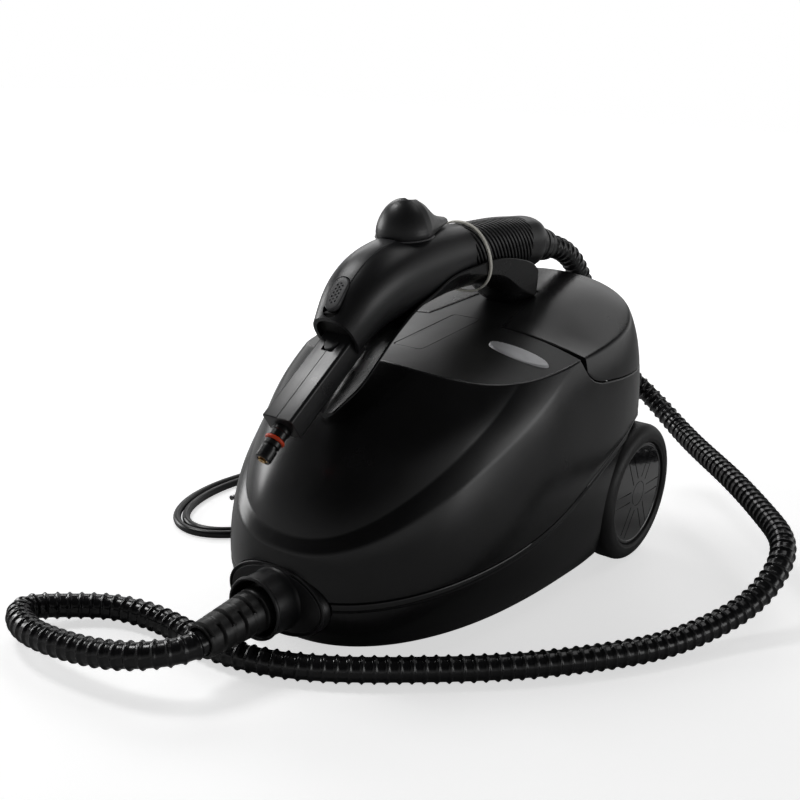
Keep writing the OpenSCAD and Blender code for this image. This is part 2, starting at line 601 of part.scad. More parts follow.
module wheel_hub_left() color("#161617") at_wheel() wheel_hub();
module wheel_hub_right() color("#161617") at_wheel() mirror([1, 0, 0]) wheel_hub();
module hub_cap() {
    difference() {
        bar_x(hub_r - 0.6, track_half - 4.8, track_half - 2);
        for (a = [0 : 60 : 300], s = [-1, 1]) rotate([a, 0, 0])
            translate([track_half - 2.6, 14, s * 4.5 - 0.5]) cube([2, 28, 1]);
        difference() {
            bar_x(10.5, track_half - 2.8, 140);
            bar_x(9.7, 80, 150);
        }
    }
    difference() {
        bar_x(hub_r - 3.2, track_half - 9, track_half - 4);
        bar_x(hub_r - 5, track_half - 10, track_half);
    }
}
module hub_cap_left() color("#0b0b0c") at_wheel() hub_cap();
module hub_cap_right() color("#0b0b0c") at_wheel() mirror([1, 0, 0]) hub_cap();
clip_x = track_half - 13.4;
module rear_axle() color("#b5b8bc") at_wheel() difference() {
    bar_x(axle_r, -clip_x - 3, clip_x + 3);
    for (s = [-1, 1]) translate([s * clip_x, 0, 0]) difference() {
        bar_x(axle_r + 1, -0.6, 0.6);
        bar_x(axle_r - 0.8, -1, 1);
    }
}
module axle_clips() color("#8f9296") at_wheel() for (s = [-1, 1]) translate([s * clip_x, 0, 0])
    difference() {
        bar_x(axle_r + 2.6, -0.5, 0.5);
        bar_x(axle_r - 0.78, -1, 1);
        translate([-1, -2.2, -10]) cube([2, 4.4, 10]);
    }
module at_caster() { translate([0, caster_y, 0]) children(); }
caster_w = 14;
module caster_fork() color("#2c2c2e") at_caster() difference() {
    union() {
        bar_z(19, pocket_top - 6, pocket_top - 2.5);
        bar_z(stem_r, pocket_top - 3, pocket_top + 21);
        for (s = [-1, 1]) translate([s * (caster_w / 2 + 2.2), 0, 0]) {
            translate([-1.25, -4, caster_r]) cube([2.5, caster_trail + 8, pocket_top - 5 - caster_r]);
            translate([0, caster_trail, caster_r]) bar_x(6, -1.25, 1.25);
        }
    }
    translate([0, caster_trail, caster_r]) bar_x(2.5 + eps, -20, 20);
}
module caster_wheel() color("#3a3a3c") at_caster() translate([0, caster_trail, caster_r]) difference() {
    rotate([0, 90, 0]) rotate_extrude() polygon([[2.5 + fit, -6.5], [6, -6.5], [6, -5.5], [12, -5.5],
        [12.6, -6.8], [14.6, -6.8], [caster_r, -5], [caster_r, 5], [14.6, 6.8], [12.6, 6.8],
        [12, 5.5], [6, 5.5], [6, 6.5], [2.5 + fit, 6.5]]);
}
module caster_axle() color("#b5b8bc") at_caster() translate([0, caster_trail, caster_r]) difference() {
    bar_x(2.5, -11, 11);
    bar_x(0.6, -12, -10);
}

// ---- inside the body --------------------------------------------------------
boiler_y0 = -88;
boiler_z = 107;
neck_y = -12;
neck_r = 9;
module at_boiler() { translate([0, 0, boiler_z]) children(); }
heater_spots = [[-14, -26], [14, -26]];
boiler_round = 14;
module boiler() color("#b8bcc0") difference() {
    union() {
        at_boiler() rotate([-90, 0, 0]) translate([0, 0, boiler_y0]) rotate_extrude()
            polygon(concat([[0, 0]],
                arc([boiler_r - boiler_round, boiler_round], boiler_round, -90, 0),
                arc([boiler_r - boiler_round, boiler_len - boiler_round], boiler_round, 0, 90),
                [[0, boiler_len]]));
        translate([0, neck_y, 0]) bar_z(neck_r, boiler_z + 50, 192);
    }
    at_boiler() rotate([-90, 0, 0]) translate([0, 0, boiler_y0]) rotate_extrude()
        polygon([[0, 2], [boiler_r - 12, 2], [boiler_r - 2, 12], [boiler_r - 2, boiler_len - 12],
            [boiler_r - 12, boiler_len - 2], [0, boiler_len - 2]]);
    translate([0, neck_y, 0]) bar_z(neck_r - 2.5, boiler_z + 40, 200);
    for (h = heater_spots) translate([h.x, 0, boiler_z + h.y]) bar_y(4.1, 80, 130);
    translate([0, 0, boiler_z + 34]) bar_y(3.6, -100, -80);
    translate([0, -60, 0]) bar_z(4.1, boiler_z + 50, 180);
    translate([0, 50, 0]) bar_z(3.1, boiler_z + 50, 180);
}
module boiler_jacket() color("#c9c1a8") difference() {
    at_boiler() bar_y(boiler_r + 6, boiler_y0 + 16, boiler_y0 + boiler_len - 16);
    at_boiler() bar_y(boiler_r + 0.4, -150, 150);
    translate([0, neck_y, 0]) bar_z(neck_r + 3, 150, 200);
    translate([0, -60, 0]) bar_z(20, 150, 200);
    translate([0, 50, 0]) bar_z(9, 150, 200);
}
module boiler_brackets() color("#9da1a5") for (y = [-62, 84]) difference() {
    translate([-46, y - 2, clearance + wall + 0.4]) cube([92, 4, 62]);
    at_boiler() bar_y(boiler_r + 6.5, -150, 150);
    if (y > 0) translate([-24, y - 3, 20]) cube([48, 6, 12]);
}
module heating_element() color("#c07a4a") {
    for (h = heater_spots) translate([h.x, 0, boiler_z + h.y]) bar_y(4, -50, 126);
    translate([0, -50, boiler_z + heater_spots[0].y]) rotate([0, 0, 180])
        rotate_extrude(angle = 180) translate([14, 0]) circle(r = 4);
    translate([0, 0, boiler_z + heater_spots[0].y]) difference() {
        bar_y(24, boiler_y0 + boiler_len + 0.3, boiler_y0 + boiler_len + 4.3);
        for (s = [-1, 1]) translate([s * 19, 0, 0]) bar_y(1.8, 100, 130);
    }
}
module thermostats() color("#d9d4c4") for (s = [-1, 1]) translate([s * 24, 0, boiler_z - 6]) {
    bar_y(9, boiler_y0 - 8, boiler_y0 - 0.3);
    bar_y(5, boiler_y0 - 13, boiler_y0 - 7);
}
module pressure_switch() color("#6f7377") translate([0, -60, 0]) {
    bar_z(4, boiler_z + 52, boiler_z + boiler_r + 3);
    bar_z(15, boiler_z + boiler_r + 2, boiler_z + boiler_r + 12);
    bar_z(8, boiler_z + boiler_r + 11, boiler_z + boiler_r + 20);
}
module safety_valve() color("#b98a3c") translate([0, 50, 0]) {
    bar_z(3, boiler_z + 52, boiler_z + boiler_r + 3);
    translate([0, 0, boiler_z + boiler_r + 2]) cylinder(r = 7, h = 8, $fn = 6);
    bar_z(4.5, boiler_z + boiler_r + 9, boiler_z + boiler_r + 22);
}
valve_at = [26, -128, 86];
module solenoid_valve() color("#54585c") translate(valve_at) {
    difference() {
        cube([24, 22, 26], center = true);
        bar_y(3.7, -30, 30);
    }
    difference() {
        bar_z(10, 13, 37);
        bar_z(3, 33, 40);
    }
}
module steam_pipe() color("#b98a3c") {
    tube_along(spline([[0, boiler_y0 - 0.3, boiler_z + 34], [2, -100, boiler_z + 33], [16, -112, 118],
        valve_at + [-4, 22, 10], valve_at + [0, 16, 1], valve_at + [0, 11.6, 0]], 4), 3, [1, 0, 0], 10);
    tube_along(spline([valve_at + [0, -11.6, 0], valve_at + [0, -16, -1], [18, -154, 72],
        [5, -165, 52], [0, -174.5, outlet_z + 0.8], [0, -183, outlet_z]], 4), 3, [1, 0, 0], 10);
}
module filler_cap() color("#2b2b2d") translate([0, neck_y, 0]) difference() {
    union() {
        bar_z(11.4, 178, 197);
        for (a = [0 : 30 : 330]) rotate([0, 0, a]) translate([11.2, 0, 0]) bar_z(1.1, 179, 196);
    }
    bar_z(neck_r + fit, 170, 194);
}
module cap_seal() color("#c64b2f") translate([0, neck_y, 0]) difference() {
    bar_z(neck_r - 0.1, 192.1, 193.9);
    bar_z(4.5, 190, 196);
}
module filler_flap() color("#222223") in_flap() difference() {
    union() {
        difference() {
            translate([-flap_size.x / 2, -flap_size.y / 2, -flap_size.z]) cube(flap_size);
            for (s = [-1, 1]) translate([-10, s * 39.5, 0]) cube([8, 8, 10], center = true);
        }
        translate(flap_axis) {
            bar_y(2.4, -18, 18);
            translate([0, -18, 0]) cube([4, 36, 1.5]);
        }
    }
    translate(flap_axis) {
        bar_y(pin_r + fit, -60, 60);
        for (s = [-1, 1]) translate([0, s * 39, 0]) bar_y(2.6, -21, 21);
    }
}
module flap_hinge_pin() color("#a8abb0") in_flap() translate(flap_axis) difference() {
    bar_y(pin_r, -42.4, 42.4);
    bar_y(0.3, 41, 43);
}
switch_at = [0, 206.4, 157];
rocker_y = -3;
module at_switch() { translate(switch_at) children(); }
module switch_frame() color("#151516") at_switch() difference() {
    union() {
        translate([-17, 0.3, -13]) cube([34, 2, 26]);
        translate([-14, -18, -10]) cube([28, 19, 20]);
    }
    translate([-12.5, -12, -8.5]) cube([25, 20, 17]);
    translate([0, rocker_y, 0]) bar_x(2 + fit, -13.7, 13.7);
}
module switch_rocker() color("#8d2320") at_switch() translate([0, rocker_y, 0]) rotate([-7, 0, 0]) {
    difference() {
        translate([-12, -3, -7.6]) cube([24, 9.5, 15.2]);
        translate([0, 16, 0]) bar_x(11.6, -20, 20);
    }
    bar_x(2, -13.5, 13.5);
}
module base_screws() color("#9a9da1") for (p = screw_spots)
    translate([p.x, p.y, clearance + 3]) mirror([0, 0, 1]) screw(3.4, 2.2, 1.55, 18);

// ---- power cord -----------------------------------------------------------
cord_exit = [-45, 199, 40];
coil_mid = [-204, 18];
coil_r = [66, 112];
plug_at = [-197, 20, 18.5];
pin_len = 19;
cord_z = cord_r + 0.1;
function coil(t, shrink) =
    [coil_mid.x + (coil_r.x - shrink) * cos(t), coil_mid.y + (coil_r.y - shrink) * sin(t), cord_z];
cord_path = concat(
    spline([cord_exit + [0, -6, 0], cord_exit + [0, 8, 0], cord_exit + [0, 23, 0],
        cord_exit + [0, 32, -3], [-56, 252, 18], [-84, 266, cord_z + 0.3], [-118, 262, cord_z],
        [-160, 240, cord_z], [-208, 190, cord_z], [-236, 147, cord_z], [-256, 97, cord_z]], 4),
    [for (t = [148 : 12 : 760]) coil(t, (t - 126) * 0.024)],
    spline([coil(762, 15.4) + [-2, 5, 0], [-200, 66, 8], [-197, 44, 16],
        plug_at + [0, 11, 0], plug_at + [0, -6, 0]], 4));
module cord_grommet() color("#0f0f10") translate(cord_exit) difference() {
    union() {
        bar_y(6.9, -12, 4);
        bar_y(9, 1, 4);
        bar_y(5.4, 4, 20);
    }
    bar_y(cord_r + 0.25, -20, 30);
}
module power_cord() color("#111112") tube_along(cord_path, cord_r, [0, 0, 1], 8);
module at_plug() { translate(plug_at) children(); }
module plug_body() color("#131314") at_plug() difference() {
    union() {
        bar_y(18, -36, -14);
        hull() {
            bar_y(16, -16, -14);
            bar_y(8, 0, 2);
        }
    }
    bar_y(cord_r + 0.2, -8, 10);
    for (s = [-1, 1]) translate([s * 9.5, 0, 0]) bar_y(2 + eps, -40, -20);
}
module plug_pins() color("#c9ccd0") at_plug() for (s = [-1, 1]) translate([s * 9.5, 0, 0]) {
    bar_y(2.4, -36 - pin_len, -36);
    bar_y(2, -36, -21);
}

base_shell();
upper_shell();
top_deck();
rear_cover();
carry_handle();
filler_flap();
flap_hinge_pin();
filler_cap();
cap_seal();
lens_left();
lens_right();
indicator_lamps();
outlet_flange();
hose_boot();
steam_hose();
gun_shell_left();
gun_shell_right();
gun_spine();
spout_housing();
lock_button();
nozzle_spigot();
o_ring();
brass_jet();
steam_slider();
steam_knob();
gun_trigger();
trigger_pin();
trigger_spring();
gun_valve();
gun_steam_pipe();
gun_hose_boot();
gun_screws();
elastic_band();
tyre_left();
tyre_right();
wheel_hub_left();
wheel_hub_right();
hub_cap_left();
hub_cap_right();
rear_axle();
axle_clips();
caster_fork();
caster_wheel();
caster_axle();
boiler();
boiler_jacket();
boiler_brackets();
heating_element();
thermostats();
pressure_switch();
safety_valve();
solenoid_valve();
steam_pipe();
switch_frame();
switch_rocker();
base_screws();
cord_grommet();
power_cord();
plug_body();
plug_pins();
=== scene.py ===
"""Looks of a canister steam cleaner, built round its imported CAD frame.

Row frame: +Z up, hose outlet and gun tip towards -Y, the machine's left side towards +X.
Shapes are worked out in millimetres; mesh() turns them into metres.
"""
import math

import bpy
import numpy as np
from mathutils import Matrix, Vector


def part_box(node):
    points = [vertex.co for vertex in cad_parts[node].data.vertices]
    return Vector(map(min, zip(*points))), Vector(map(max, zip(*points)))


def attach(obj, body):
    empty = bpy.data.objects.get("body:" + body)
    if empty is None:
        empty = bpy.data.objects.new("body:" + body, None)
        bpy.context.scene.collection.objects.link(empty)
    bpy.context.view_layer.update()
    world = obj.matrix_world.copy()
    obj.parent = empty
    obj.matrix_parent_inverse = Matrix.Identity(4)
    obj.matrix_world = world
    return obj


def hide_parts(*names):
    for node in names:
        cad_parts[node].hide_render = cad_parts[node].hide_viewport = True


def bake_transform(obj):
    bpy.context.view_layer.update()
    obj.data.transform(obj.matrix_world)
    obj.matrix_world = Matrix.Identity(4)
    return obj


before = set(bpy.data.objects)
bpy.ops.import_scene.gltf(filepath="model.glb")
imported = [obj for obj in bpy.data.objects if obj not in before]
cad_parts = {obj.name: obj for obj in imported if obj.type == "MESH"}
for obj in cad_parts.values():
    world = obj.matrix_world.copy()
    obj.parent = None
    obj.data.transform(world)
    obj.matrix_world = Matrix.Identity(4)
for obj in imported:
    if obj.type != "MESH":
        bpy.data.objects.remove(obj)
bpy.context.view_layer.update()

MM = 0.001
TAU = 2 * math.pi
SHARP = 32
SHEER = 0.01
PATH_SAMPLES = 4000


# ---- curves and meshes ----
def curve(points):
    """Smooth curve through (x, value) points, held flat beyond the ends."""
    x, y = np.array(points, float).T
    n = len(x)
    h = np.diff(x)
    system = np.eye(n)
    right = np.zeros(n)
    for i in range(1, n - 1):
        system[i, i - 1:i + 2] = h[i - 1], 2 * (h[i - 1] + h[i]), h[i]
        right[i] = 6 * ((y[i + 1] - y[i]) / h[i] - (y[i] - y[i - 1]) / h[i - 1])
    m = np.linalg.solve(system, right)

    def value(q):
        q = np.clip(q, x[0], x[-1])
        i = np.clip(np.searchsorted(x, q) - 1, 0, n - 2)
        t = q - x[i]
        s = x[i + 1] - q
        bend = (m[i] * s ** 3 + m[i + 1] * t ** 3) / (6 * h[i])
        chord = (y[i] / h[i] - m[i] * h[i] / 6) * s
        return bend + chord + (y[i + 1] / h[i] - m[i + 1] * h[i] / 6) * t

    return value


def unit(v):
    return v / np.linalg.norm(v, axis=-1, keepdims=True)


def path_through(points, step):
    """Smooth path through 3-D points, sampled about every step mm."""
    points = np.array(points, float)
    s = np.concatenate([[0], np.cumsum(np.linalg.norm(np.diff(points, axis=0), axis=1))])
    fine = np.linspace(0, s[-1], PATH_SAMPLES)
    dense = np.stack([curve(np.stack([s, points[:, k]], 1))(fine) for k in range(3)], 1)
    length = np.concatenate([[0], np.cumsum(np.linalg.norm(np.diff(dense, axis=0), axis=1))])
    at = np.linspace(0, length[-1], int(length[-1] / step) + 1)
    return np.stack([np.interp(at, length, dense[:, k]) for k in range(3)], 1), at


def grid_faces(rows, cols, around, closed):
    r = np.arange(rows if closed else rows - 1)[:, None]
    c = np.arange(cols if around else cols - 1)[None, :]
    up = (r + 1) % rows
    right = (c + 1) % cols
    corners = (r * cols + c, r * cols + right, up * cols + right, up * cols + c)
    quads = np.stack(np.broadcast_arrays(*corners), -1)
    return [tuple(q) for q in quads.reshape(-1, 4).tolist()]


def loft(rings, around=True, closed=False):
    """Skin over a stack of point rings; closed joins the last ring to the first."""
    rings = np.array(rings, float)
    rows, cols = rings.shape[:2]
    faces = grid_faces(rows, cols, around, closed)
    if around and not closed:
        faces.append(tuple(range(cols))[::-1])
        faces.append(tuple(range((rows - 1) * cols, rows * cols)))
    if closed and not around:
        faces.append(tuple(r * cols for r in range(rows)))
        faces.append(tuple(r * cols + cols - 1 for r in range(rows))[::-1])
    return rings.reshape(-1, 3), faces


def joined(parts):
    points, faces, base = [], [], 0
    for p, f in parts:
        points.append(p)
        faces += [tuple(i + base for i in q) for q in f]
        base += len(p)
    return np.concatenate(points), faces


def placed(part, at=(0, 0, 0), rx=0.0, ry=0.0, rz=0.0):
    turn = Matrix.Rotation(math.radians(rz), 3, "Z") @ Matrix.Rotation(math.radians(ry), 3, "Y")
    turn = np.array(turn @ Matrix.Rotation(math.radians(rx), 3, "X"))
    return part[0] @ turn.T + np.array(at, float), part[1]


def mirrored(part):
    return part[0] * [-1, 1, 1], [f[::-1] for f in part[1]]


def turned_part(profile, n=96, closed=True):
    """Profile of (radius, height) points turned about Z, outside on the right going up."""
    profile = np.array(profile, float)
    a = np.arange(n) * TAU / n
    r, z = profile[:, :1], profile[:, 1:]
    return loft(np.stack([r * np.cos(a), r * np.sin(a), z + 0 * a], -1), closed=closed)


def on_x(part):
    """Turns a part built on +Z onto +X."""
    return placed(part, ry=90)


def on_y(part):
    """Turns a part built on +Z onto +Y."""
    return placed(part, rx=-90)


def tube(path, radius, n):
    """Round tube along a path; radius is a number or one per point."""
    path = np.array(path, float)
    tangent = unit(np.gradient(path, axis=0))
    side = np.array([0.0, 0.0, 1.0])
    sides = []
    for t in tangent:
        side = unit(side - side.dot(t) * t)
        sides.append(side)
    u = np.array(sides)
    v = np.cross(tangent, u)
    a = np.arange(n) * TAU / n
    c, s = np.cos(a)[None, :, None], np.sin(a)[None, :, None]
    r = np.broadcast_to(np.asarray(radius, float), (len(path),))[:, None, None]
    return loft(path[:, None] + r * (c * u[:, None] + s * v[:, None]))


def ellipse(a, b, n=96):
    t = np.arange(n) * TAU / n
    return np.stack([a * np.cos(t), b * np.sin(t)], 1)


def round_rect(w, h, r, n=8):
    points = []
    for k, (sx, sy) in enumerate([(1, 1), (-1, 1), (-1, -1), (1, -1)]):
        for i in range(n + 1):
            t = (k + i / n) * TAU / 4
            points.append((sx * (w / 2 - r) + r * math.cos(t), sy * (h / 2 - r) + r * math.sin(t)))
    return np.array(points)


def inset_outline(outline, d):
    along = unit(np.roll(outline, -1, 0) - np.roll(outline, 1, 0) + 1e-9)
    return outline + d * np.stack([-along[:, 1], along[:, 0]], 1)


def slab(outline, z0, z1, r=0.5, steps=4):
    """Flat plate with rounded top and bottom edges, from an anticlockwise outline."""
    rings = []
    for k in range(steps + 1):
        t = k / steps * TAU / 4
        rings.append((r * (1 - math.sin(t)), z0 + r * (1 - math.cos(t))))
    rings += [(d, z0 + z1 - z) for d, z in rings[::-1]]
    return loft([np.column_stack([inset_outline(outline, d), np.full(len(outline), z)])
                 for d, z in rings])


def stamp(outline, z0, z1):
    """Cutter with plain square edges."""
    return slab(outline, z0, z1, SHEER, 1)


def mesh(name, part, sharp=SHARP):
    """Object with smooth faces, sharp where they meet at more than the given angle."""
    points, faces = part
    data = bpy.data.meshes.new(name)
    data.from_pydata((points * MM).tolist(), [], faces)
    data.polygons.foreach_set("use_smooth", [True] * len(faces))
    data.update()
    data.set_sharp_from_angle(angle=math.radians(sharp))
    obj = bpy.data.objects.new(name, data)
    bpy.context.scene.collection.objects.link(obj)
    return obj


def carve(obj, part, sharp=SHARP):
    """Cuts part out of obj."""
    cutter = mesh("cutter", part)
    mod = obj.modifiers.new("cut", "BOOLEAN")
    mod.operation = "DIFFERENCE"
    mod.solver = "EXACT"
    mod.object = cutter
    depsgraph = bpy.context.evaluated_depsgraph_get()
    result = bpy.data.meshes.new_from_object(obj.evaluated_get(depsgraph))
    obj.modifiers.clear()
    obj.data = result
    result.polygons.foreach_set("use_smooth", [True] * len(result.polygons))
    result.set_sharp_from_angle(angle=math.radians(sharp))
    bpy.data.objects.remove(cutter)


def as_part(obj):
    """Takes an object out of the scene and gives back its points and faces."""
    data = obj.data
    points, faces = [v.co for v in data.vertices], [tuple(p.vertices) for p in data.polygons]
    part = np.array(points) / MM, faces
    bpy.data.objects.remove(obj)
    return part


def finish_piece(obj, look, body, slot, *nodes):
    """Gives a piece its material and body and hides the CAD nodes it stands for; slot is not used.
    """
    obj.data.materials.clear()
    obj.data.materials.append(look)
    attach(obj, body)
    if nodes:
        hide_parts(*nodes)


def add(name, part, look, body, slot, *nodes, sharp=SHARP):
    finish_piece(mesh(name, part, sharp), look, body, slot, *nodes)


# ---- materials ----
def remap(tree, value, low, high, to_low, to_high):
    """Maps low..high of a value onto to_low..to_high, held flat beyond."""
    node = tree.nodes.new("ShaderNodeMapRange")
    limits = {"From Min": low, "From Max": high, "To Min": to_low, "To Max": to_high}
    for name, limit in limits.items():
        node.inputs[name].default_value = limit
    tree.links.new(value, node.inputs["Value"])
    return node.outputs["Result"]


def product(tree, a, b):
    node = tree.nodes.new("ShaderNodeMath")
    node.operation = "MULTIPLY"
    tree.links.new(a, node.inputs[0])
    tree.links.new(b, node.inputs[1])
    return node.outputs[0]


TINT_SCALE, WEAR_SCALE, SMUDGE_SCALE = 45.0, 160.0, 22.0
GRAIN_DEPTH = 0.0002


def material(name, colour, rough, grain=(1.0, 0.0), metal=0.0, coat=0.0, coat_rough=0.1,
             smudge=0.05, wear=0.0, tint=0.04, transmission=0.0, stretch=(1, 1, 1)):
    """Procedural finish: grain of a size in mm and a strength, cloudy roughness, rubbed edges."""
    mat = bpy.data.materials.new(name)
    mat.use_nodes = True
    tree = mat.node_tree
    nodes, links = tree.nodes, tree.links
    shader = nodes["Principled BSDF"]
    where = nodes.new("ShaderNodeTexCoord")
    scaled = nodes.new("ShaderNodeMapping")
    scaled.inputs["Scale"].default_value = stretch
    links.new(where.outputs["Object"], scaled.inputs["Vector"])

    def noise(scale, detail=4.0):
        n = nodes.new("ShaderNodeTexNoise")
        n.inputs["Scale"].default_value = scale
        n.inputs["Detail"].default_value = detail
        n.inputs["Roughness"].default_value = 0.55
        links.new(scaled.outputs["Vector"], n.inputs["Vector"])
        return n.outputs["Fac"]

    def mix(factor, a, b):
        n = nodes.new("ShaderNodeMix")
        n.data_type = "RGBA"
        links.new(factor, n.inputs["Factor"])
        for socket, value in ((n.inputs["A"], a), (n.inputs["B"], b)):
            if isinstance(value, tuple):
                socket.default_value = (*value, 1)
            else:
                links.new(value, socket)
        return n.outputs["Result"]

    dark = tuple(c * (1 - tint * 2) for c in colour)
    light = tuple(min(1, c * (1 + tint * 2) + tint * 0.02) for c in colour)
    base = mix(remap(tree, noise(TINT_SCALE, 5.0), 0.35, 0.65, 0, 1), dark, light)
    if wear:
        pointed = nodes.new("ShaderNodeNewGeometry").outputs["Pointiness"]
        edge = remap(tree, pointed, 0.52, 0.6, 0, wear)
        patchy = remap(tree, noise(WEAR_SCALE), 0.4, 0.6, 0, 1)
        worn = tuple(min(1, c * 1.6 + 0.03) for c in colour)
        base = mix(product(tree, edge, patchy), base, worn)
    links.new(base, shader.inputs["Base Color"])
    low, high = max(0.02, rough - smudge), rough + smudge
    cloudy = remap(tree, noise(SMUDGE_SCALE, 6.0), 0.3, 0.7, low, high)
    links.new(cloudy, shader.inputs["Roughness"])
    shader.inputs["Metallic"].default_value = metal
    shader.inputs["Coat Weight"].default_value = coat
    shader.inputs["Coat Roughness"].default_value = coat_rough
    shader.inputs["Transmission Weight"].default_value = transmission
    grain_mm, strength = grain
    if strength:
        bump = nodes.new("ShaderNodeBump")
        bump.inputs["Strength"].default_value = strength
        bump.inputs["Distance"].default_value = GRAIN_DEPTH
        links.new(noise(1000 / grain_mm, 3.0), bump.inputs["Height"])
        links.new(bump.outputs["Normal"], shader.inputs["Normal"])
    return mat


GLOSS = material("gloss_black_plastic", (0.007, 0.007, 0.0075), 0.24, (2.5, 0.02), smudge=0.04,
                 wear=0.25)
DECK = material("satin_deck_plastic", (0.008, 0.008, 0.0085), 0.34, (0.7, 0.12), smudge=0.04,
                wear=0.2)
HANDLE = material("handle_plastic", (0.007, 0.007, 0.0075), 0.26, (2.0, 0.03), wear=0.3)
GUN = material("gun_plastic", (0.011, 0.011, 0.012), 0.36, (0.6, 0.18), wear=0.25)
SPOUT = material("spout_plastic", (0.011, 0.011, 0.012), 0.32, (0.6, 0.08), wear=0.1)
SPINE = material("spine_plastic", (0.03, 0.03, 0.032), 0.38, (0.6, 0.12), wear=0.3)
MATTE = material("button_plastic", (0.02, 0.02, 0.021), 0.46, (0.5, 0.2), wear=0.4)
# The slider's own grey; on the knob's seat ring the same grey is a painted highlight.
SLIDER_AND_HIGHLIGHT = material("slider_plastic_and_painted_highlight", (0.06, 0.06, 0.063), 0.42, (0.5, 0.15), wear=0.4)
FLANGE = material("flange_plastic", (0.011, 0.011, 0.012), 0.38, (0.7, 0.12), smudge=0.04, wear=0.3)
# Painted shade: darker and matter than the gun plastic, for the shade inside the gun's turned-in
# front.
RECESS_SHADE = material("recess_painted_shade", (0.004, 0.004, 0.004), 0.6, (0.8, 0.2))
BOOT = material("boot_rubber", (0.012, 0.012, 0.012), 0.4, (0.8, 0.2), wear=0.25)
HOSE = material("hose_plastic", (0.008, 0.008, 0.009), 0.2, (1.5, 0.05), smudge=0.06, wear=0.2)
CORD = material("cord_plastic", (0.008, 0.008, 0.009), 0.32, (0.8, 0.12))
TYRE = material("tyre_rubber", (0.007, 0.007, 0.0075), 0.52, (0.6, 0.3), smudge=0.08, wear=0.35)
HUB = material("hub_plastic", (0.012, 0.012, 0.013), 0.16, (2.5, 0.02), coat=0.8, coat_rough=0.06,
               wear=0.3)
CASTER = material("caster_plastic", (0.04, 0.04, 0.042), 0.45, (0.6, 0.2), wear=0.3)
STEEL = material("bright_steel", (0.62, 0.62, 0.63), 0.26, (0.4, 0.1), metal=1.0, stretch=(0.1, 1,
                 1))
BOILER = material("boiler_steel", (0.5, 0.5, 0.52), 0.34, (0.5, 0.2), metal=1.0, stretch=(1, 0.1,
                  1))
BRASS = material("turned_brass", (0.75, 0.46, 0.16), 0.22, (0.4, 0.08), metal=1.0)
COPPER = material("dull_copper", (0.55, 0.24, 0.12), 0.38, (0.6, 0.12), metal=1.0, smudge=0.1)
ZINC = material("zinc_plate", (0.35, 0.36, 0.38), 0.42, (1.2, 0.15), metal=0.9, smudge=0.1)
FELT = material("felt_jacket", (0.55, 0.48, 0.36), 0.95, (1.6, 0.9), tint=0.12)
CERAMIC = material("ceramic", (0.72, 0.68, 0.6), 0.5, (0.8, 0.15))
SEAL = material("orange_seal", (0.75, 0.06, 0.012), 0.36, (0.8, 0.1))
SEAL_RED = material("red_seal", (0.4, 0.04, 0.015), 0.4, (0.8, 0.1))
BAND = material("white_rubber_band", (0.82, 0.8, 0.72), 0.55, (0.4, 0.25))
LENS = material("silver_lens", (0.72, 0.72, 0.74), 0.32, (1.2, 0.7), metal=0.35, coat=0.5,
                coat_rough=0.1)
LAMP = material("amber_lamp", (0.7, 0.2, 0.02), 0.15, transmission=0.4)
SWITCH = material("switch_red", (0.4, 0.012, 0.008), 0.22, (1.0, 0.02), coat=0.5)


# ---- body surface ----
WALL = 3.0
GAP = 0.8
BONNET_INSET = 4.0
BODY_MID = 30.0
BODY_TOP = 245.0
FRONT_POWER, REAR_POWER = 2.4, 3.0
CLEARANCE = 9.0
FOOT = CLEARANCE + 16.0
HALVINGS = 40
half_width = curve([(0, 107), (15, 112.5), (30, 118), (60, 122.5), (100, 124), (140, 122),
                    (180, 117), (200, 112), (222, 104), (245, 92)])
nose = curve([(0, -188), (15, -197), (30, -201), (60, -203), (100, -194), (140, -172), (176, -144),
              (204, -104), (245, -30)])
tail = curve([(0, 170), (15, 180), (30, 190), (60, 199), (100, 204), (140, 206), (180, 205),
              (200, 202), (222, 192), (245, 174)])
roof_line = curve([(-110, 203), (-57, 205.5), (-13, 211), (25, 216), (80, 225), (130, 233),
                   (170, 238), (210, 240)])
seam_line = curve([(-200, 49.5), (-105, 61.6), (-57, 69.4), (5, 87), (54, 108), (110, 126),
                   (165, 136), (210, 140)])
COVER_EDGE = np.array([(22, 202.5), (26, 196), (32, 188.5), (40, 183.5), (52, 180), (89, 176.5),
                       (130, 174)]).T


def roof(x, y):
    """Height of the roof, which falls away to both sides more towards the rear."""
    return roof_line(y) - np.interp(y, (25, 168), (0.00118, 0.0023)) * x * x


def skin(a, z, inset=0.0):
    """Body surface in direction a at height z, moved in by inset."""
    c, s = np.cos(a), np.sin(a)
    power = np.where(s < 0, FRONT_POWER, REAR_POWER)
    length = np.where(s < 0, BODY_MID - nose(z), tail(z) - BODY_MID)
    r = (np.abs(c / half_width(z)) ** power + np.abs(s / length) ** power) ** (-1 / power) - inset
    return np.stack([r * c, BODY_MID + r * s, z + 0 * r], -1)


def settle(a, rule):
    """Height at which the surface in direction a meets z = rule(x, y)."""
    low, high = 0 * a, 0 * a + BODY_TOP
    for _ in range(HALVINGS):
        mid = (low + high) / 2
        p = skin(a, mid)
        below = mid < rule(p[..., 0], p[..., 1])
        low, high = np.where(below, mid, low), np.where(below, high, mid)
    return (low + high) / 2


def soft_ramp(d, r):
    """0 below zero and d above it, with the corner rounded over r."""
    return np.where(d < -r, 0, np.where(d > r, d, (d + r) ** 2 / (4 * r)))


def crease_height(y0, z0, slope):
    """Height, in every direction, of a crease that rises from z0 at y0."""
    return settle(ANGLES, lambda x, y: z0 + slope * (y - y0))


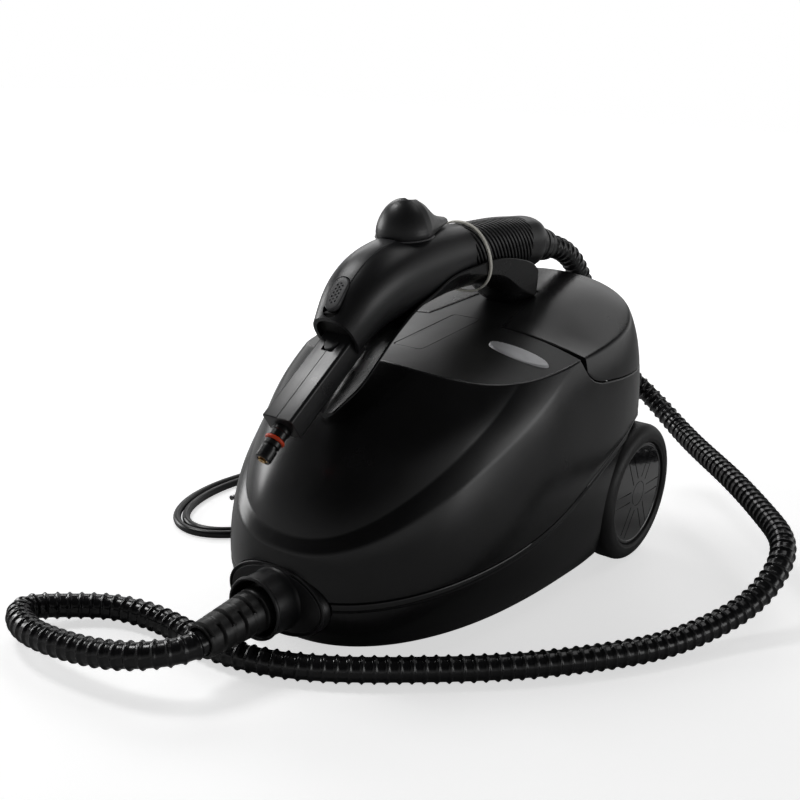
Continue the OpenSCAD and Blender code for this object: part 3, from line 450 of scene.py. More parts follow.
AROUND = 480
ANGLES = np.arange(AROUND) * TAU / AROUND
seam_z = settle(ANGLES, lambda x, y: seam_line(y))
roof_z = settle(ANGLES, roof)
cover_z = settle(ANGLES, lambda x, y: np.interp(y, *COVER_EDGE))
outer_z = crease_height(-203, 81, 0.555)
inner_z = np.maximum(crease_height(-199, 90, 0.70), outer_z + 6)
behind = skin(ANGLES, roof_z)[:, 1] > COVER_EDGE[0, 0]
top_z = np.where(behind, np.minimum(cover_z, roof_z) - GAP, roof_z + 1)


def crease_inset(z):
    """How far the bonnet lies inside the body line at height z, for every direction."""
    rise = (soft_ramp(z - outer_z, 2.2) - soft_ramp(z - inner_z, 1.6)) / (inner_z - outer_z)
    return BONNET_INSET * np.clip(rise, 0, 1)


def upper_rows():
    """Heights of the rows up the upper shell, close together at the two creases."""
    body = [seam_z + GAP + 1.2 + (outer_z - 4 - seam_z - GAP - 1.2) * t
            for t in np.linspace(0, 1, 18)]
    first = [outer_z + d for d in (-2.6, -1.6, -0.8, 0, 0.8, 1.6, 2.6)]
    band = [outer_z + 2.6 + (inner_z - outer_z - 4.6) * t for t in (0.25, 0.5, 0.75, 1)]
    second = [inner_z + d for d in (-1.2, -0.6, 0, 0.6, 1.2, 2)]
    bonnet = [inner_z + 2 + np.maximum(top_z - 1.2 - inner_z - 2, 0) * t
              for t in np.linspace(0, 1, 26)[1:]]
    rows = body + first + band + second + bonnet
    count = len(rows)
    return [np.minimum(z, top_z - 1.2 - (count - k) * 0.01) for k, z in enumerate(rows)]


def upper_shell():
    rows = [skin(ANGLES, seam_z + GAP + dz, inset)
            for inset, dz in ((WALL, 0), (1.2, 0), (0.45, 0.25), (0.08, 0.7))]
    rows += [skin(ANGLES, z, crease_inset(z)) for z in upper_rows()]
    lip = crease_inset(top_z)
    rows += [skin(ANGLES, top_z - d, lip + inset) for inset, d in
             ((0.1, 0.7), (0.45, 0.2), (1.0, 0), (2.0, 0), (2.55, 0.2), (2.9, 0.7), (WALL, 1.5),
              (WALL, 6))]
    rows += [skin(ANGLES, top_z - 8 - (top_z - 8 - seam_z - GAP - 2) * t, lip * (1 - t) + WALL)
             for t in np.linspace(0, 1, 12)]
    return loft(rows, closed=True)


def ring_at(z, inset):
    """Ring of the base at one height, kept under the parting line."""
    return skin(ANGLES, np.minimum(z, seam_z), inset)


def base_inset(z):
    """Shallow step a few millimetres under the parting line, fading out further down."""
    depth = seam_z - z
    step = soft_ramp(depth - 5, 0.8) - soft_ramp(depth - 6.4, 0.8)
    tucked = 0.6 * np.clip(1 - depth / 4, 0, 1)
    return tucked + 0.9 * np.clip(step / 1.4, 0, 1) * np.clip(1 - (depth - 6) / 45, 0, 1)


def base_solid():
    rows = [ring_at(CLEARANCE + rise, inset) for rise, inset in
            ((0, 12), (0.35, 9.5), (1.2, 6.8), (2.8, 4.4), (5, 2.5), (8, 1.2), (12, 0.35))]
    for t in np.linspace(0, 1, 14):
        z = FOOT + (seam_z - 9 - FOOT) * t
        rows.append(skin(ANGLES, z, base_inset(z)))
    for d in (8, 7.2, 6.8, 6.3, 5.8, 5.3, 4.8, 4.2, 3, 1.5, 0.7):
        rows.append(skin(ANGLES, seam_z - d, base_inset(seam_z - d)))
    rows += [skin(ANGLES, seam_z - 0.2, 0.9), skin(ANGLES, seam_z, 1.6)]
    return loft(rows)


def base_hollow():
    rows = [ring_at(CLEARANCE + WALL, 14), ring_at(CLEARANCE + 10, WALL + 3)]
    rows += [skin(ANGLES, FOOT + (seam_z - FOOT) * t, WALL) for t in np.linspace(0.1, 1, 8)]
    return loft(rows + [skin(ANGLES, seam_z, WALL) + [0, 0, 8]])


# ---- places: axle and wheel sizes from the frame, the rest as in the CAD model ----
def middle(node):
    low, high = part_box(node)
    return [(a + b) / 2 / MM for a, b in zip(low, high)]


def radius_of(node):
    low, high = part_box(node)
    return (high[2] - low[2]) / 2 / MM


_, AXLE_Y, AXLE_Z = middle("rear_axle")
AXLE = (0, AXLE_Y, AXLE_Z)
TYRE_R, HUB_R = radius_of("tyre_left"), radius_of("wheel_hub_left")
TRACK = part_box("tyre_left")[1][0] / MM
TYRE_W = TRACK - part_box("tyre_left")[0][0] / MM
WELL_R = TYRE_R + 6
WELL_X = 90.0
CASTER_AT = (0, -125.0)
POCKET_R, POCKET_TOP = 34.0, 40.0
OUTLET = np.array([0, -200.5, 43.0])
OVAL = (45.8, 26.7)
COLLAR_R = 23.3
SWITCH_AT = (0, 206.4, 157.0)
CORD_EXIT = (-45, 199, 40)
SCREWS = [(x * s, y) for s in (-1, 1) for x, y in ((62, -120), (92, -30), (80, 62))]


def drum(r, x0, x1, at=(0, 0, 0), n=128):
    """Solid cylinder along X."""
    return placed(on_x(turned_part([(r, x0), (r, x1)], n, closed=False)), at)


def post(r, z0, z1, at=(0, 0), n=64):
    """Solid cylinder along Z."""
    return placed(turned_part([(r, z0), (r, z1)], n, closed=False), (at[0], at[1], 0))


def outlet_cutter():
    return placed(stamp(ellipse(OVAL[0] + GAP, OVAL[1] + GAP), -30, 8), OUTLET, rx=-90)


def build_body():
    upper = mesh("upper_body", upper_shell())
    carve(upper, outlet_cutter())
    carve(upper, placed(stamp(round_rect(29, 21, 1), -30, 20), SWITCH_AT, rx=90))
    finish_piece(upper, GLOSS, "machine", "gloss_black", "upper_shell")
    hollow = mesh("hollow", base_hollow())
    liners = [drum(WELL_R + WALL, WELL_X - WALL, 160, AXLE),
              drum(WELL_R + WALL, -160, WALL - WELL_X, AXLE),
              post(POCKET_R + WALL, 0, POCKET_TOP + WALL, CASTER_AT)]
    carve(hollow, joined(liners))
    base = mesh("lower_body", base_solid())
    carve(base, as_part(hollow))
    wells = [drum(WELL_R, WELL_X, 170, AXLE), drum(WELL_R, -170, -WELL_X, AXLE),
             post(POCKET_R, -5, POCKET_TOP, CASTER_AT),
             post(5.1, POCKET_TOP - 1, 60, CASTER_AT, 48), drum(4.1, -89.9, 89.9, AXLE, 48)]
    carve(base, joined(wells))
    carve(base, outlet_cutter())
    carve(base, joined([post(4, 0, CLEARANCE + WALL - 0.2, p, 40) for p in SCREWS]))
    carve(base, placed(on_y(post(7, -30, 40, n=48)), CORD_EXIT))
    finish_piece(base, GLOSS, "machine", "gloss_black", "base_shell")


# The cover's edge on the roof runs from the body's side to V_TIP and back to V_END.
V_TIP, V_END = (35.0, 25.5), (19.0, 112.0)


def rear_cover():
    """Skirt, rounded shoulder and roof of the cover behind the deck, with its inner side."""
    ids = np.arange(AROUND // 2 + 1)
    ids = ids[skin(ANGLES[ids], roof_z[ids])[:, 1] > COVER_EDGE[0, 0] + 0.6]
    n = len(ids)
    a = ANGLES[ids]
    low, high = np.minimum(cover_z[ids], roof_z[ids]), roof_z[ids] + 0.4
    half = (n - 1) // 2
    tip, end = int(half * 0.34), int(half * 0.8)
    col = np.minimum(np.arange(n), n - 1 - np.arange(n))
    side = np.where(np.arange(n) < n / 2, 1, -1)
    edge = skin(a[:1], roof_z[ids][:1], WALL)[0]
    bx = side * np.interp(col, (0, tip, end, half), (edge[0], V_TIP[0], V_END[0], 0))
    by = np.interp(col, (0, tip, end, half), (edge[1], V_TIP[1], V_END[1], V_END[1]))

    def skirt(k, inset):
        return skin(a, low * (1 - k) + high * k, inset)

    def top(k, drop):
        p = skin(a, high, 2.2)
        x, y = p[:, 0] * (1 - k) + bx * k, p[:, 1] * (1 - k) + by * k
        return np.stack([x, y, roof(x, y) + 0.4 - drop], -1)

    height = np.maximum(high - low, 0.4)
    rows = [skirt(0, WALL), skirt(0, 1.0), skirt(0.2 / height, 0.4), skirt(0.6 / height, 0.08)]
    rows += [skirt(k, 0) for k in np.linspace(0.06, 0.9, 12)]
    corner, before, after = skirt(1, 0), skirt(1 - np.minimum(2.2 / height, 0.1), 0), top(0, 0)
    rows += [before * (1 - t) ** 2 + corner * 2 * t * (1 - t) + after * t * t
             for t in (0.15, 0.35, 0.5, 0.65, 0.85)]
    rows += [top(k, 0) for k in np.linspace(0, 0.97, 40)]
    rows += [top(0.98, 0.02), top(0.988, 0.12), top(0.995, 0.5), top(1, 1.2), top(1, 4.5)]
    rows += [top(0.97, 4.5), top(0.5, 4.0), skin(a, high - WALL, WALL + 1), skirt(0.4, WALL)]
    return loft(rows, around=False, closed=True)


def deck():
    """Plate from just inside the lip back to the rear cover's edge, following the roof."""
    ids = np.arange(AROUND // 2 - 12, AROUND + 13) % AROUND
    ids = ids[~behind[ids]]
    edge = skin(ANGLES[ids], roof_z[ids], crease_inset(roof_z)[ids] + 1.5)
    x, front = edge[:, 0], edge[:, 1]
    limit = np.abs(x).max() + 0.01
    rear = np.interp(np.abs(x), (0, V_END[0], V_TIP[0], limit),
                     (V_END[1] + 3, V_END[1] + 3, V_TIP[1] + 3, front.max() + 3))
    t = np.linspace(0, 1, 101)[:, None]
    y = front * (1 - t) + rear * t
    x = x + 0 * y
    upper = np.stack([x, y, roof(x, y) - 0.5], -1)
    lower = upper[::-1] - [0, 0, 2.4]
    return loft(np.concatenate([upper, lower]), around=False, closed=True)


FLAP_MID, FLAP_SIZE = (0.0, -12.0), (26.0, 84.0)
LENS_MID, LENS_SIZE = (73.0, -8.0), (26.7, 9.8)
PRISM = 1.9
THROUGH_ROOF = (150, 260)


def on_roof(outline, low, high, edge, wave=None):
    """Plate that follows the roof, from an outline in plan; wave adds height to its face."""
    def ring(d, drop):
        p = inset_outline(outline, d)
        return np.column_stack([p, roof(p[:, 0], p[:, 1]) + drop])

    rings = [ring(0, low), ring(0, high - edge), ring(edge * 0.3, high - edge * 0.3),
             ring(edge, high)]
    middle_at = outline.mean(0)
    for k in np.linspace(0.02, 1, 40 if wave else 8)[:-1]:
        p = inset_outline(outline, edge) * (1 - k) + middle_at * k
        z = roof(p[:, 0], p[:, 1]) + high
        rings.append(np.column_stack([p, z + (wave(p) if wave else 0)]))
    return loft(rings)


def lens_outline(grow=0.0):
    return ellipse(LENS_SIZE[0] + grow, LENS_SIZE[1] + grow, 200) + LENS_MID


def lens_ribs(p):
    """Fine prisms over a crowned lens."""
    x, y = p[:, 0] - LENS_MID[0], p[:, 1] - LENS_MID[1]
    prisms = 0.28 * np.sin(x * TAU / PRISM) * np.sin(y * TAU / PRISM)
    return prisms + 0.9 * (1 - (y / LENS_SIZE[1]) ** 2)


def build_top():
    plate = mesh("deck_plate", deck())
    opening = stamp(round_rect(FLAP_SIZE[0] + 1.3, FLAP_SIZE[1] + 1.0, 4.3), *THROUGH_ROOF)
    carve(plate, placed(opening, (FLAP_MID[0] - 0.35, FLAP_MID[1] - 0.2, 0)))
    hole = stamp(lens_outline(0.5), *THROUGH_ROOF)
    carve(plate, joined([hole, mirrored(hole)]))
    finish_piece(plate, DECK, "machine", "satin_deck", "top_deck")
    add("tail_cover", rear_cover(), GLOSS, "machine", "gloss_black", "rear_cover")
    flap = on_roof(round_rect(*FLAP_SIZE, 4) + FLAP_MID, -2.9, -0.5, 0.25)
    sleeve = turned_part([(1.26, -18), (1.75, -18), (1.75, 18), (1.26, 18)], 32)
    knuckle = placed(on_y(sleeve), (-11, -11.7, 208.8), rx=7.4)
    add("filler_lid", joined([flap, knuckle]), DECK, "flap", "flap_plastic", "filler_flap")
    lens = on_roof(lens_outline(), -2.6, -0.1, 0.6, lens_ribs)
    for side, part in (("left", lens), ("right", mirrored(lens))):
        add("lamp_lens_" + side, part, LENS, "machine", "lens_clear", "lens_" + side, sharp=60)


# ---- hose, outlet and boots ----
def bead(a, b, r, n):
    """Bead of round section along an ellipse in the XY plane."""
    t = np.arange(n) * TAU / n
    rings = []
    for k in np.arange(16) * TAU / 16:
        out, z = r * math.cos(k), r * math.sin(k)
        rings.append(np.stack([(a + out) * np.cos(t), (b + out) * np.sin(t), z + 0 * t], -1))
    return loft(rings, closed=True)


def build_outlet():
    a, b = OVAL
    plate = placed(slab(ellipse(a, b, 128), -7, 0, 1.1), OUTLET, rx=90)
    rim = placed(bead(a - 0.9, b - 0.9, 1.0, 128), OUTLET - [0, 0.2, 0], rx=90)
    face = placed(slab(ellipse(a - 3.2, b - 3.2, 128), -1, 1.1, 0.7), OUTLET, rx=90)
    profile = [(3, 0), (1.2, 0.8), (0.3, 2.2), (0, 4), (0, 21), (0.6, 21.6), (0.9, 22.6),
               (0.6, 23.6), (-0.3, 24.2), (-1.4, 24), (-2.2, 23), (-2.6, 21), (-2.6, 2), (-2.6, 0)]
    collar = turned_part([(COLLAR_R + out, z) for out, z in profile], 128)
    outlet = joined([plate, rim, face, placed(collar, OUTLET, rx=90)])
    add("hose_outlet", outlet, FLANGE, "machine", "flange_black", "outlet_flange")


def slotted_boot(r0, r1, length, ribs, bore, n=144):
    """Strain relief: rings with a slot through each, offset from ring to ring."""
    z = np.linspace(0, length, ribs * 20 + 1)
    a = np.arange(n) * TAU / n
    k = np.clip(z / length * ribs, 0, ribs - 0.001)
    phase = k - np.floor(k)
    groove = np.where((phase > 0.68) & (phase < 0.92), 1.0, 0.0)
    groove = np.convolve(np.pad(groove, 1, mode="edge"), [0.25, 0.5, 0.25], "valid")
    turn = np.floor(k) * TAU / 4
    web = np.cos(2 * (a[None, :] - turn[:, None])) > 0.45
    depth = np.where(web, 0.25, 2.4) * groove[:, None]
    fade = np.clip(np.minimum(z, length - z) / 1.5, 0, 1)[:, None]
    r = (r0 + (r1 - r0) * z / length)[:, None] - depth * fade - (1 - fade) * 0.7
    outer = np.stack([r * np.cos(a), r * np.sin(a), z[:, None] + 0 * r], -1)
    ends = np.array([[length], [0]]) + 0 * a
    inner = np.stack([bore * np.cos(a) + 0 * ends, bore * np.sin(a) + 0 * ends, ends], -1)
    return loft(np.concatenate([outer, inner]), closed=True)


HOSE_R = 10.5
BOOT_ROOT = OUTLET - [0, 8, 0]
BOOT_DIR = unit(np.array([-2.0, -60, -6]))
GUN_REAR = np.array([0, 129, 267.8])
HOSE_POINTS = [
    BOOT_ROOT + 10 * BOOT_DIR, BOOT_ROOT + 40 * BOOT_DIR, BOOT_ROOT + 74 * BOOT_DIR,
    (-20, -303, 32), (-50, -316, 27), (-92, -322.5, 23), (-140, -316, 19), (-163, -294, 15),
    (-150, -268, 12), (-124, -246, 11), (-92, -237, 10.5), (-52, -238, 10.5), (-10, -238, 10.5),
    (42, -219, 10.5), (96, -177, 10.5), (150, -124, 10.5), (190, -73, 10.5), (222, -20, 11),
    (244, 30, 17), (260.3, 75, 32), (262.3, 112, 52.4), (233.4, 162.6, 59.8), (172.3, 229.8, 65.1),
    (112.9, 286.5, 69.9), (73, 317.5, 80.1), (34.8, 324.8, 103.7), (12, 296, 132), (7, 256, 168),
    (6, 224, 215), (5, 206, 238), (3, 192, 250.5), (1, 172, 259.5),
    GUN_REAR + [0, 23, -4], GUN_REAR]
HOSE_PITCH, RIDGE = 8.8, 1.5


def along(part, root, direction):
    """Turns a part built on +Z into a direction and sets it on its root."""
    turn = np.array(Vector(direction).to_track_quat("Z", "Y").to_matrix())
    return part[0] @ turn.T + np.array(root, float), part[1]


def hose():
    """Corrugated hose that rests on the floor where its path dips."""
    path, s = path_through(HOSE_POINTS, HOSE_PITCH / 14)
    path[:, 2] = np.maximum(path[:, 2], HOSE_R)
    ridge = ((1 + np.cos(s * TAU / HOSE_PITCH)) / 2) ** 5
    return tube(path, HOSE_R - RIDGE + RIDGE * ridge, 36)


def build_hose():
    boot = along(slotted_boot(17.5, 13.2, 66, 7, HOSE_R + 0.3), BOOT_ROOT, BOOT_DIR)
    add("outlet_boot", boot, BOOT, "machine", "boot_rubber", "hose_boot", sharp=40)
    line = mesh("corrugated_hose", hose(), sharp=60)
    line.data.materials.append(HOSE)
    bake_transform(line)
    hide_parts("steam_hose")
    boot = placed(slotted_boot(17.2, 13.2, 38, 4, HOSE_R + 0.4), (0, 115, 270.3), rx=-100)
    add("grip_boot", boot, BOOT, "gun", "boot_rubber", "gun_hose_boot", sharp=40)


# ---- carry handle ----
# Stations of the trough: y, height of its floor, height of its rim, half width.
SADDLE = np.array([
    (-152, 172, 174.5, 9), (-146, 178.5, 185.5, 18), (-132, 191.5, 200.5, 24),
    (-112, 209, 221, 26.5), (-96, 220.5, 233, 27), (-80, 228.5, 243, 27.5), (-60, 235, 251, 28),
    (-38, 238.8, 259.5, 27.5), (-10, 243, 264, 27), (20, 246, 266.5, 26), (50, 248, 265.5, 25.5),
    (76, 248, 261, 25), (94, 245, 254.5, 24.5), (108, 239, 243, 24)], float)
SADDLE_KEEL = curve([(-152, 168.5), (-146, 174), (-132, 186.5), (-112, 202), (-100, 211.5),
                     (-88, 220.5), (-76, 227), (-60, 232.4), (-38, 236.2), (-10, 240.4), (20, 243),
                     (42, 242), (56, 236), (68, 226), (80, 222.5), (108, 221)])
SADDLE_SIDE = curve([(-152, 0.8), (-60, 0.9), (-30, 1.5), (0, 6), (20, 10), (48, 15), (62, 20),
                     (78, 24), (94, 23), (108, 14)])


def carry_handle():
    """Shallow V trough that turns into a thick-sided arch with a leg at the rear."""
    y = np.concatenate([np.linspace(-152, -120, 30), np.linspace(-119, 97, 109),
                        np.linspace(98, 108, 16)])
    floor, rim, wide = (curve(SADDLE[:, [0, k]])(y) for k in (1, 2, 3))
    wide = wide * np.sqrt(np.clip(1 - (np.clip(y - 96, 0, 12) / 12.6) ** 3, 0.05, 1))
    keel, side = np.minimum(SADDLE_KEEL(y), floor - 2.5), SADDLE_SIDE(y)
    fullness = np.interp(y, (-152, -20, 30, 60, 90), (1.3, 1.4, 1.8, 3, 3))
    hollow = np.interp(y, (-150, -120, -50), (1.4, 2.0, 2.6))
    t = np.linspace(1, -1, 41)
    u = np.linspace(-1, 1, 33)[1:-1]
    rings = []
    for k in range(len(y)):
        w, top, low = wide[k], rim[k], rim[k] - side[k]
        dish = floor[k] + (top - floor[k]) * np.abs(t) ** hollow[k]
        edge = [(-w + 1.2, top + 0.45), (-w + 0.5, top + 0.35), (-w, top - 0.3),
                (-w, top - 0.8 - side[k] * 0.4), (-w + 0.3, low - 0.4), (-w + 1.0, low - 1.2)]
        belly = low - 1.4 - (low - 1.4 - keel[k]) * (1 - np.abs(u) ** fullness[k])
        section = np.concatenate([np.column_stack([(w - 1.6) * t, dish]), edge,
                                  np.column_stack([(w - 1.6) * u, belly]),
                                  [(-x, z) for x, z in edge[::-1]]])[::-1]
        rings.append(np.column_stack([section[:, 0], np.full(len(section), y[k]), section[:, 1]]))
    return loft(rings)


# ---- steam gun ----
# Stations of the gun from its muzzle back: y, z, tilt, half width, half height.
GUN_STATIONS = np.array([
    (-141, 226, 36, 18.5, 18.5), (-134, 233.5, 38, 21, 20), (-122, 245, 36, 24, 23.5),
    (-105, 255, 26, 26, 27), (-80, 262, 14, 27, 28.5), (-48, 266, 6, 26, 27.5),
    (-15, 269, 4, 23.5, 25), (25, 271, 2, 21.5, 23), (68, 272, -1, 21, 22.5),
    (100, 271, -4, 21, 22), (113, 270, -6, 20.6, 21.6), (118, 269.6, -6.5, 19.4, 20.2)], float)
GUN_POWER = 2.3
GUN_WALL = 2.9
VENT_PITCH, VENT_DEPTH = 5.2, 2.3
HALF_SPLIT = 0.05
gun_steps = np.hypot(np.diff(GUN_STATIONS[:, 0]), np.diff(GUN_STATIONS[:, 1]))
gun_s = np.concatenate([[0], np.cumsum(gun_steps)])
gun_curves = [curve(np.column_stack([gun_s, GUN_STATIONS[:, k]])) for k in range(5)]


def gun_surface(s, a, lift):
    """Gun skin at length s and angle a (90 degrees is the top), moved out by lift."""
    y, z, tilt, w, h = (c(s) for c in gun_curves)
    c, n = np.cos(a), np.sin(a)
    r = (np.abs(c) ** GUN_POWER + np.abs(n) ** GUN_POWER) ** (-1 / GUN_POWER)
    up = (h + lift) * r * n
    t = np.radians(tilt)
    return np.stack([(w + lift) * r * c, y - up * np.sin(t), z + up * np.cos(t)], -1)


def vents(s, a):
    """Depth of the diagonal grooves in the grip's two sides."""
    def past(d):
        return np.clip(d / 1.2, 0, 1)

    y = gun_curves[0](s)
    girth = 23.0 * np.abs(np.where(np.cos(a) > 0, a - TAU / 4, TAU / 2 + TAU / 4 - a))
    place = (y - girth * 0.6) / VENT_PITCH
    phase = place - np.floor(place)
    groove = np.clip((0.27 - np.abs(phase - 0.5)) * 11, 0, 1)
    inside = past(y - 3) * past(93 - y)
    return groove * inside * past(girth - 2.5) * past(50 - girth)


def gun_shell():
    """Left half of the gun as a closed shell; the front end is a turned-in collar."""
    s = np.concatenate([np.linspace(0, 152, 120), np.linspace(152.4, 252, 300),
                        np.linspace(253, gun_s[-1], 24)])
    a = np.linspace(TAU / 4, -TAU / 4, 181)
    ss, aa = np.meshgrid(s, a, indexing="ij")
    outer = gun_surface(ss, aa, -VENT_DEPTH * vents(ss, aa))
    rows = np.concatenate([outer, gun_surface(ss, aa, -GUN_WALL)[::-1]])
    rows[..., 0] = np.maximum(rows[..., 0], HALF_SPLIT)
    return loft(rows, around=False, closed=True)


def in_slot(part):
    return placed(part, (0, -141, 257), rx=50)


def in_knob(part):
    return placed(part, (0, -64, 290.2), rx=6)


def in_spout(part):
    return placed(part, (0, -134.5, 218.6), rx=36.4)


def in_spigot(part):
    return in_spout(placed(part, (0, -66, -1), rx=95))


def pill(w, l, z0, z1, r=0.6):
    return slab(round_rect(w, l, w / 2 - 0.01, 12), z0, z1, r)


KNOB_R = 21.5


def knob():
    """Domed knob running out into a low tail behind."""
    tip, tip_r = 50.0, 4.0
    lean = math.asin((KNOB_R - tip_r) / tip)
    front = np.linspace(math.pi - lean, TAU + lean, 100)
    back = np.linspace(lean, math.pi - lean, 24)
    outline = np.concatenate([
        np.column_stack([KNOB_R * np.cos(front), KNOB_R * np.sin(front)]),
        np.column_stack([tip_r * np.cos(back), tip + tip_r * np.sin(back)])])
    gaps = np.linalg.norm(np.roll(outline, -1, 0) - outline, axis=1)
    s = np.concatenate([[0], np.cumsum(gaps)])
    loop = np.concatenate([outline, outline[:1]])
    at = np.linspace(0, s[-1], 160, endpoint=False)
    outline = np.stack([np.interp(at, s, loop[:, k]) for k in range(2)], 1)

    def height(p):
        """Dome in front of the axis; behind it the ridge falls away along the tail."""
        x, y = p.T
        ridge = np.interp(y, (0, 8, 16, 24, 32, 41, 50, tip + tip_r),
                          (25.5, 24.6, 20.5, 14, 8.8, 5.2, 3.0, 0.6))
        half = np.interp(y, (0, 7.5, tip + 1.4, tip + tip_r),
                         (KNOB_R + 0.3, KNOB_R - 0.9, tip_r + 0.2, 1.0))
        across = np.where(y < 0, np.hypot(x, y) / (KNOB_R + 0.3), np.abs(x) / half)
        return ridge * np.clip(1 - across ** 2.1, 0, 1) ** 0.62

    rings = [np.column_stack([outline * (1 - d / 22), np.full(len(outline), z)])
             for d, z in ((1.5, 1.2), (0.4, 1.2), (0, 1.6))]
    for k in np.concatenate([np.linspace(1, 0.9, 12), np.linspace(0.88, 0.02, 50)]):
        p = outline * k
        rings.append(np.column_stack([p, 2.6 + height(p) - 0.9 * (k > 0.99)]))
    return loft(rings)


def open_top(obj):
    """Cuts the steam slider's slot and the steam knob's seat."""
    carve(obj, in_slot(placed(pill(14.4, 32.4, -9, 12, SHEER), (0, -2, 0))))
    carve(obj, in_knob(post(KNOB_R + 0.8, -0.2, 30)))


def build_shells():
    half = gun_shell()
    for side, part in (("left", half), ("right", mirrored(half))):
        shell = mesh("gun_half_" + side, part)
        open_top(shell)
        carve(shell, placed(stamp(round_rect(13, 58, 2), -14, 8), (0, -35, 245.7), rx=5))
        finish_piece(shell, GUN, "gun", "gun_gloss", "gun_shell_" + side)
    s = np.linspace(3, 84, 90)
    a = np.radians(np.linspace(74, 106, 25))[::-1]
    ss, aa = np.meshgrid(s, a, indexing="ij")
    lift = np.minimum(0.5, 2.0 * np.minimum(aa - a[-1], a[0] - aa) * 26)
    strip = np.concatenate([gun_surface(ss, aa, lift), gun_surface(ss, aa, -0.6)[::-1]])
    ridge = mesh("ridge", loft(strip, around=False, closed=True))
    open_top(ridge)
    finish_piece(ridge, SPINE, "gun", "spine_grey", "gun_spine")


def build_knob():
    dial = mesh("steam_dial", in_knob(joined([knob(), post(5, -8, 2)])), sharp=50)
    thumb = placed(slab(round_rect(10, 17, 4.9, 12), 0, 30, 2.0), (0, 2.0, 20.5), rx=-38)
    carve(dial, in_knob(thumb), sharp=50)
    finish_piece(dial, GUN, "knob", "gun_gloss", "steam_knob")
    # Ring in the knob's seat: its pale grey is a painted highlight line along the knob's base.
    highlight_ring = turned_part([(17, -0.15), (22.1, -0.15), (22.3, 0.2), (22.1, 0.8), (21.6, 1.0),
                        (17, 1.0)], 128)
    add("dial_ring_painted_highlight", in_knob(highlight_ring), SLIDER_AND_HIGHLIGHT, "gun", "gun_gloss")


SPOUT_SIZE = (27.0, 19.0, 78.0)


def spout_section():
    """Rounded rectangle with a small notch along the middle of its top side."""
    width, height, _ = SPOUT_SIZE
    section = round_rect(width, height, 2.4)
    on_top = section[:, 1] > height / 2 - 0.01
    first = next(k for k in range(len(section)) if on_top[k] and on_top[k - 1])
    way = section[first][0] - section[first - 1][0]
    notch = sorted([(-0.3, height / 2), (0, height / 2 - 0.35), (0.3, height / 2)],
                   key=lambda p: p[0] * way)
    return np.insert(section, first, notch, axis=0)


def build_spout():
    # Muzzle disc in the painted recess shade, darker than the gun to show the shaded hollow of its
    # front.
    disc = placed(slab(ellipse(17.4, 17.4, 96), -1.5, 1.5, 0.4), (0, -137.4, 230.9), rx=126)
    add("muzzle_plate", disc, RECESS_SHADE, "gun", "gun_gloss")
    body = placed(slab(spout_section(), -8, SPOUT_SIZE[2], 0.6), rx=90)
    spout = mesh("spout_body", in_spout(body))
    carve(spout, in_spout(placed(stamp(round_rect(11, 9.5, 1.5), 2.5, 20), (0, -9.25, 0))))
    finish_piece(spout, SPOUT, "gun", "spout_satin", "spout_housing")
    arch = [(5 * math.cos(t), 4.2 - 8.4 * math.sin(t)) for t in np.linspace(0, math.pi, 24)]
    key = placed(slab(np.array(arch)[::-1], 5.4, 10.8, 0.8), (0, -9.2, 0))
    add("lock_key", in_spout(key), MATTE, "lock", "cap_black", "lock_button")


def build_nozzle():
    """Spigot with a collar, a groove for the seal and a hollow tip."""
    r, bore, rings = 6.18, 2.5, 4.8
    profile = [(bore, 5), (r, 5), (r, 12), (r + 0.9, 12.5), (r + 0.9, 15.5), (r, 16), (r, 20.5),
               (rings, 20.5), (rings, 24.1), (r, 24.1), (r, 27.2), (r - 1.4, 27.8), (r - 1.4, 29.2),
               (r, 29.8), (r, 38.2), (r - 0.6, 39), (4.1, 39), (4.1, 33), (bore, 33)]
    spigot = in_spigot(turned_part(profile, 64))
    add("nozzle", spigot, HANDLE, "gun", "flange_black", "nozzle_spigot")


def build_slider():
    """Button with a diamond of small round pits."""
    button = mesh("slider_button", in_slot(pill(13, 27, -3.2, 1.3, 1.2)))
    spots = [(x, y) for y in (-6.4, -3.2, 0, 3.2, 6.4) for x in (-2.2, 2.2)]
    spots += [(0, y) for y in (-8, -4.8, -1.6, 1.6, 4.8, 8)]
    carve(button, in_slot(joined([post(0.85, 0.75, 3, p, 16) for p in spots])))
    finish_piece(button, SLIDER_AND_HIGHLIGHT, "slider", "cap_black", "steam_slider")


def build_band():
    t = np.arange(160) * TAU / 160
    c, s = np.cos(t), np.sin(t)
    loops = []
    for dy, dr in ((-1.5, 0), (-1.5, 1.1), (-1.2, 1.4), (1.2, 1.4), (1.5, 1.1), (1.5, 0)):
        tall = np.where(s > 0, 31.2, 24.6) + dr
        across = (27.0 + dr) * np.sign(c) * np.abs(c) ** 0.9
        loops.append(np.stack([across, dy + 0 * t, tall * s], -1))
    band = placed(loft(loops[::-1], closed=True), (0, 16, 264), rx=12)
    obj = mesh("strap_band", band)
    obj.data.materials.append(BAND)
    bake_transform(obj)
    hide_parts("elastic_band")


# ---- wheels ----
def tyre():
    r, x, inner = TYRE_R, TRACK, TRACK - TYRE_W
    back = [(HUB_R + 0.1, inner + 1.5), (HUB_R + 4, inner)]
    back += [(r - 7 + 7 * math.cos(t), inner + 7 + 7 * math.sin(t))
             for t in np.radians(np.arange(-90, 1, 9))]
    tread = [(r, inner + 8 + k) for k in (0, 3, 6)]
    front = [(r - 9 + 9 * math.cos(t), x - 9 + 9 * math.sin(t))
             for t in np.radians(np.arange(0, 91, 7.5))]
    lip = [(HUB_R + out, x - drop) for out, drop in
           ((3, 0), (2.2, 0.5), (1.2, 0.6), (0.4, 0.9), (0.1, 2))]
    return on_x(turned_part(back + tread + front + lip, 192))


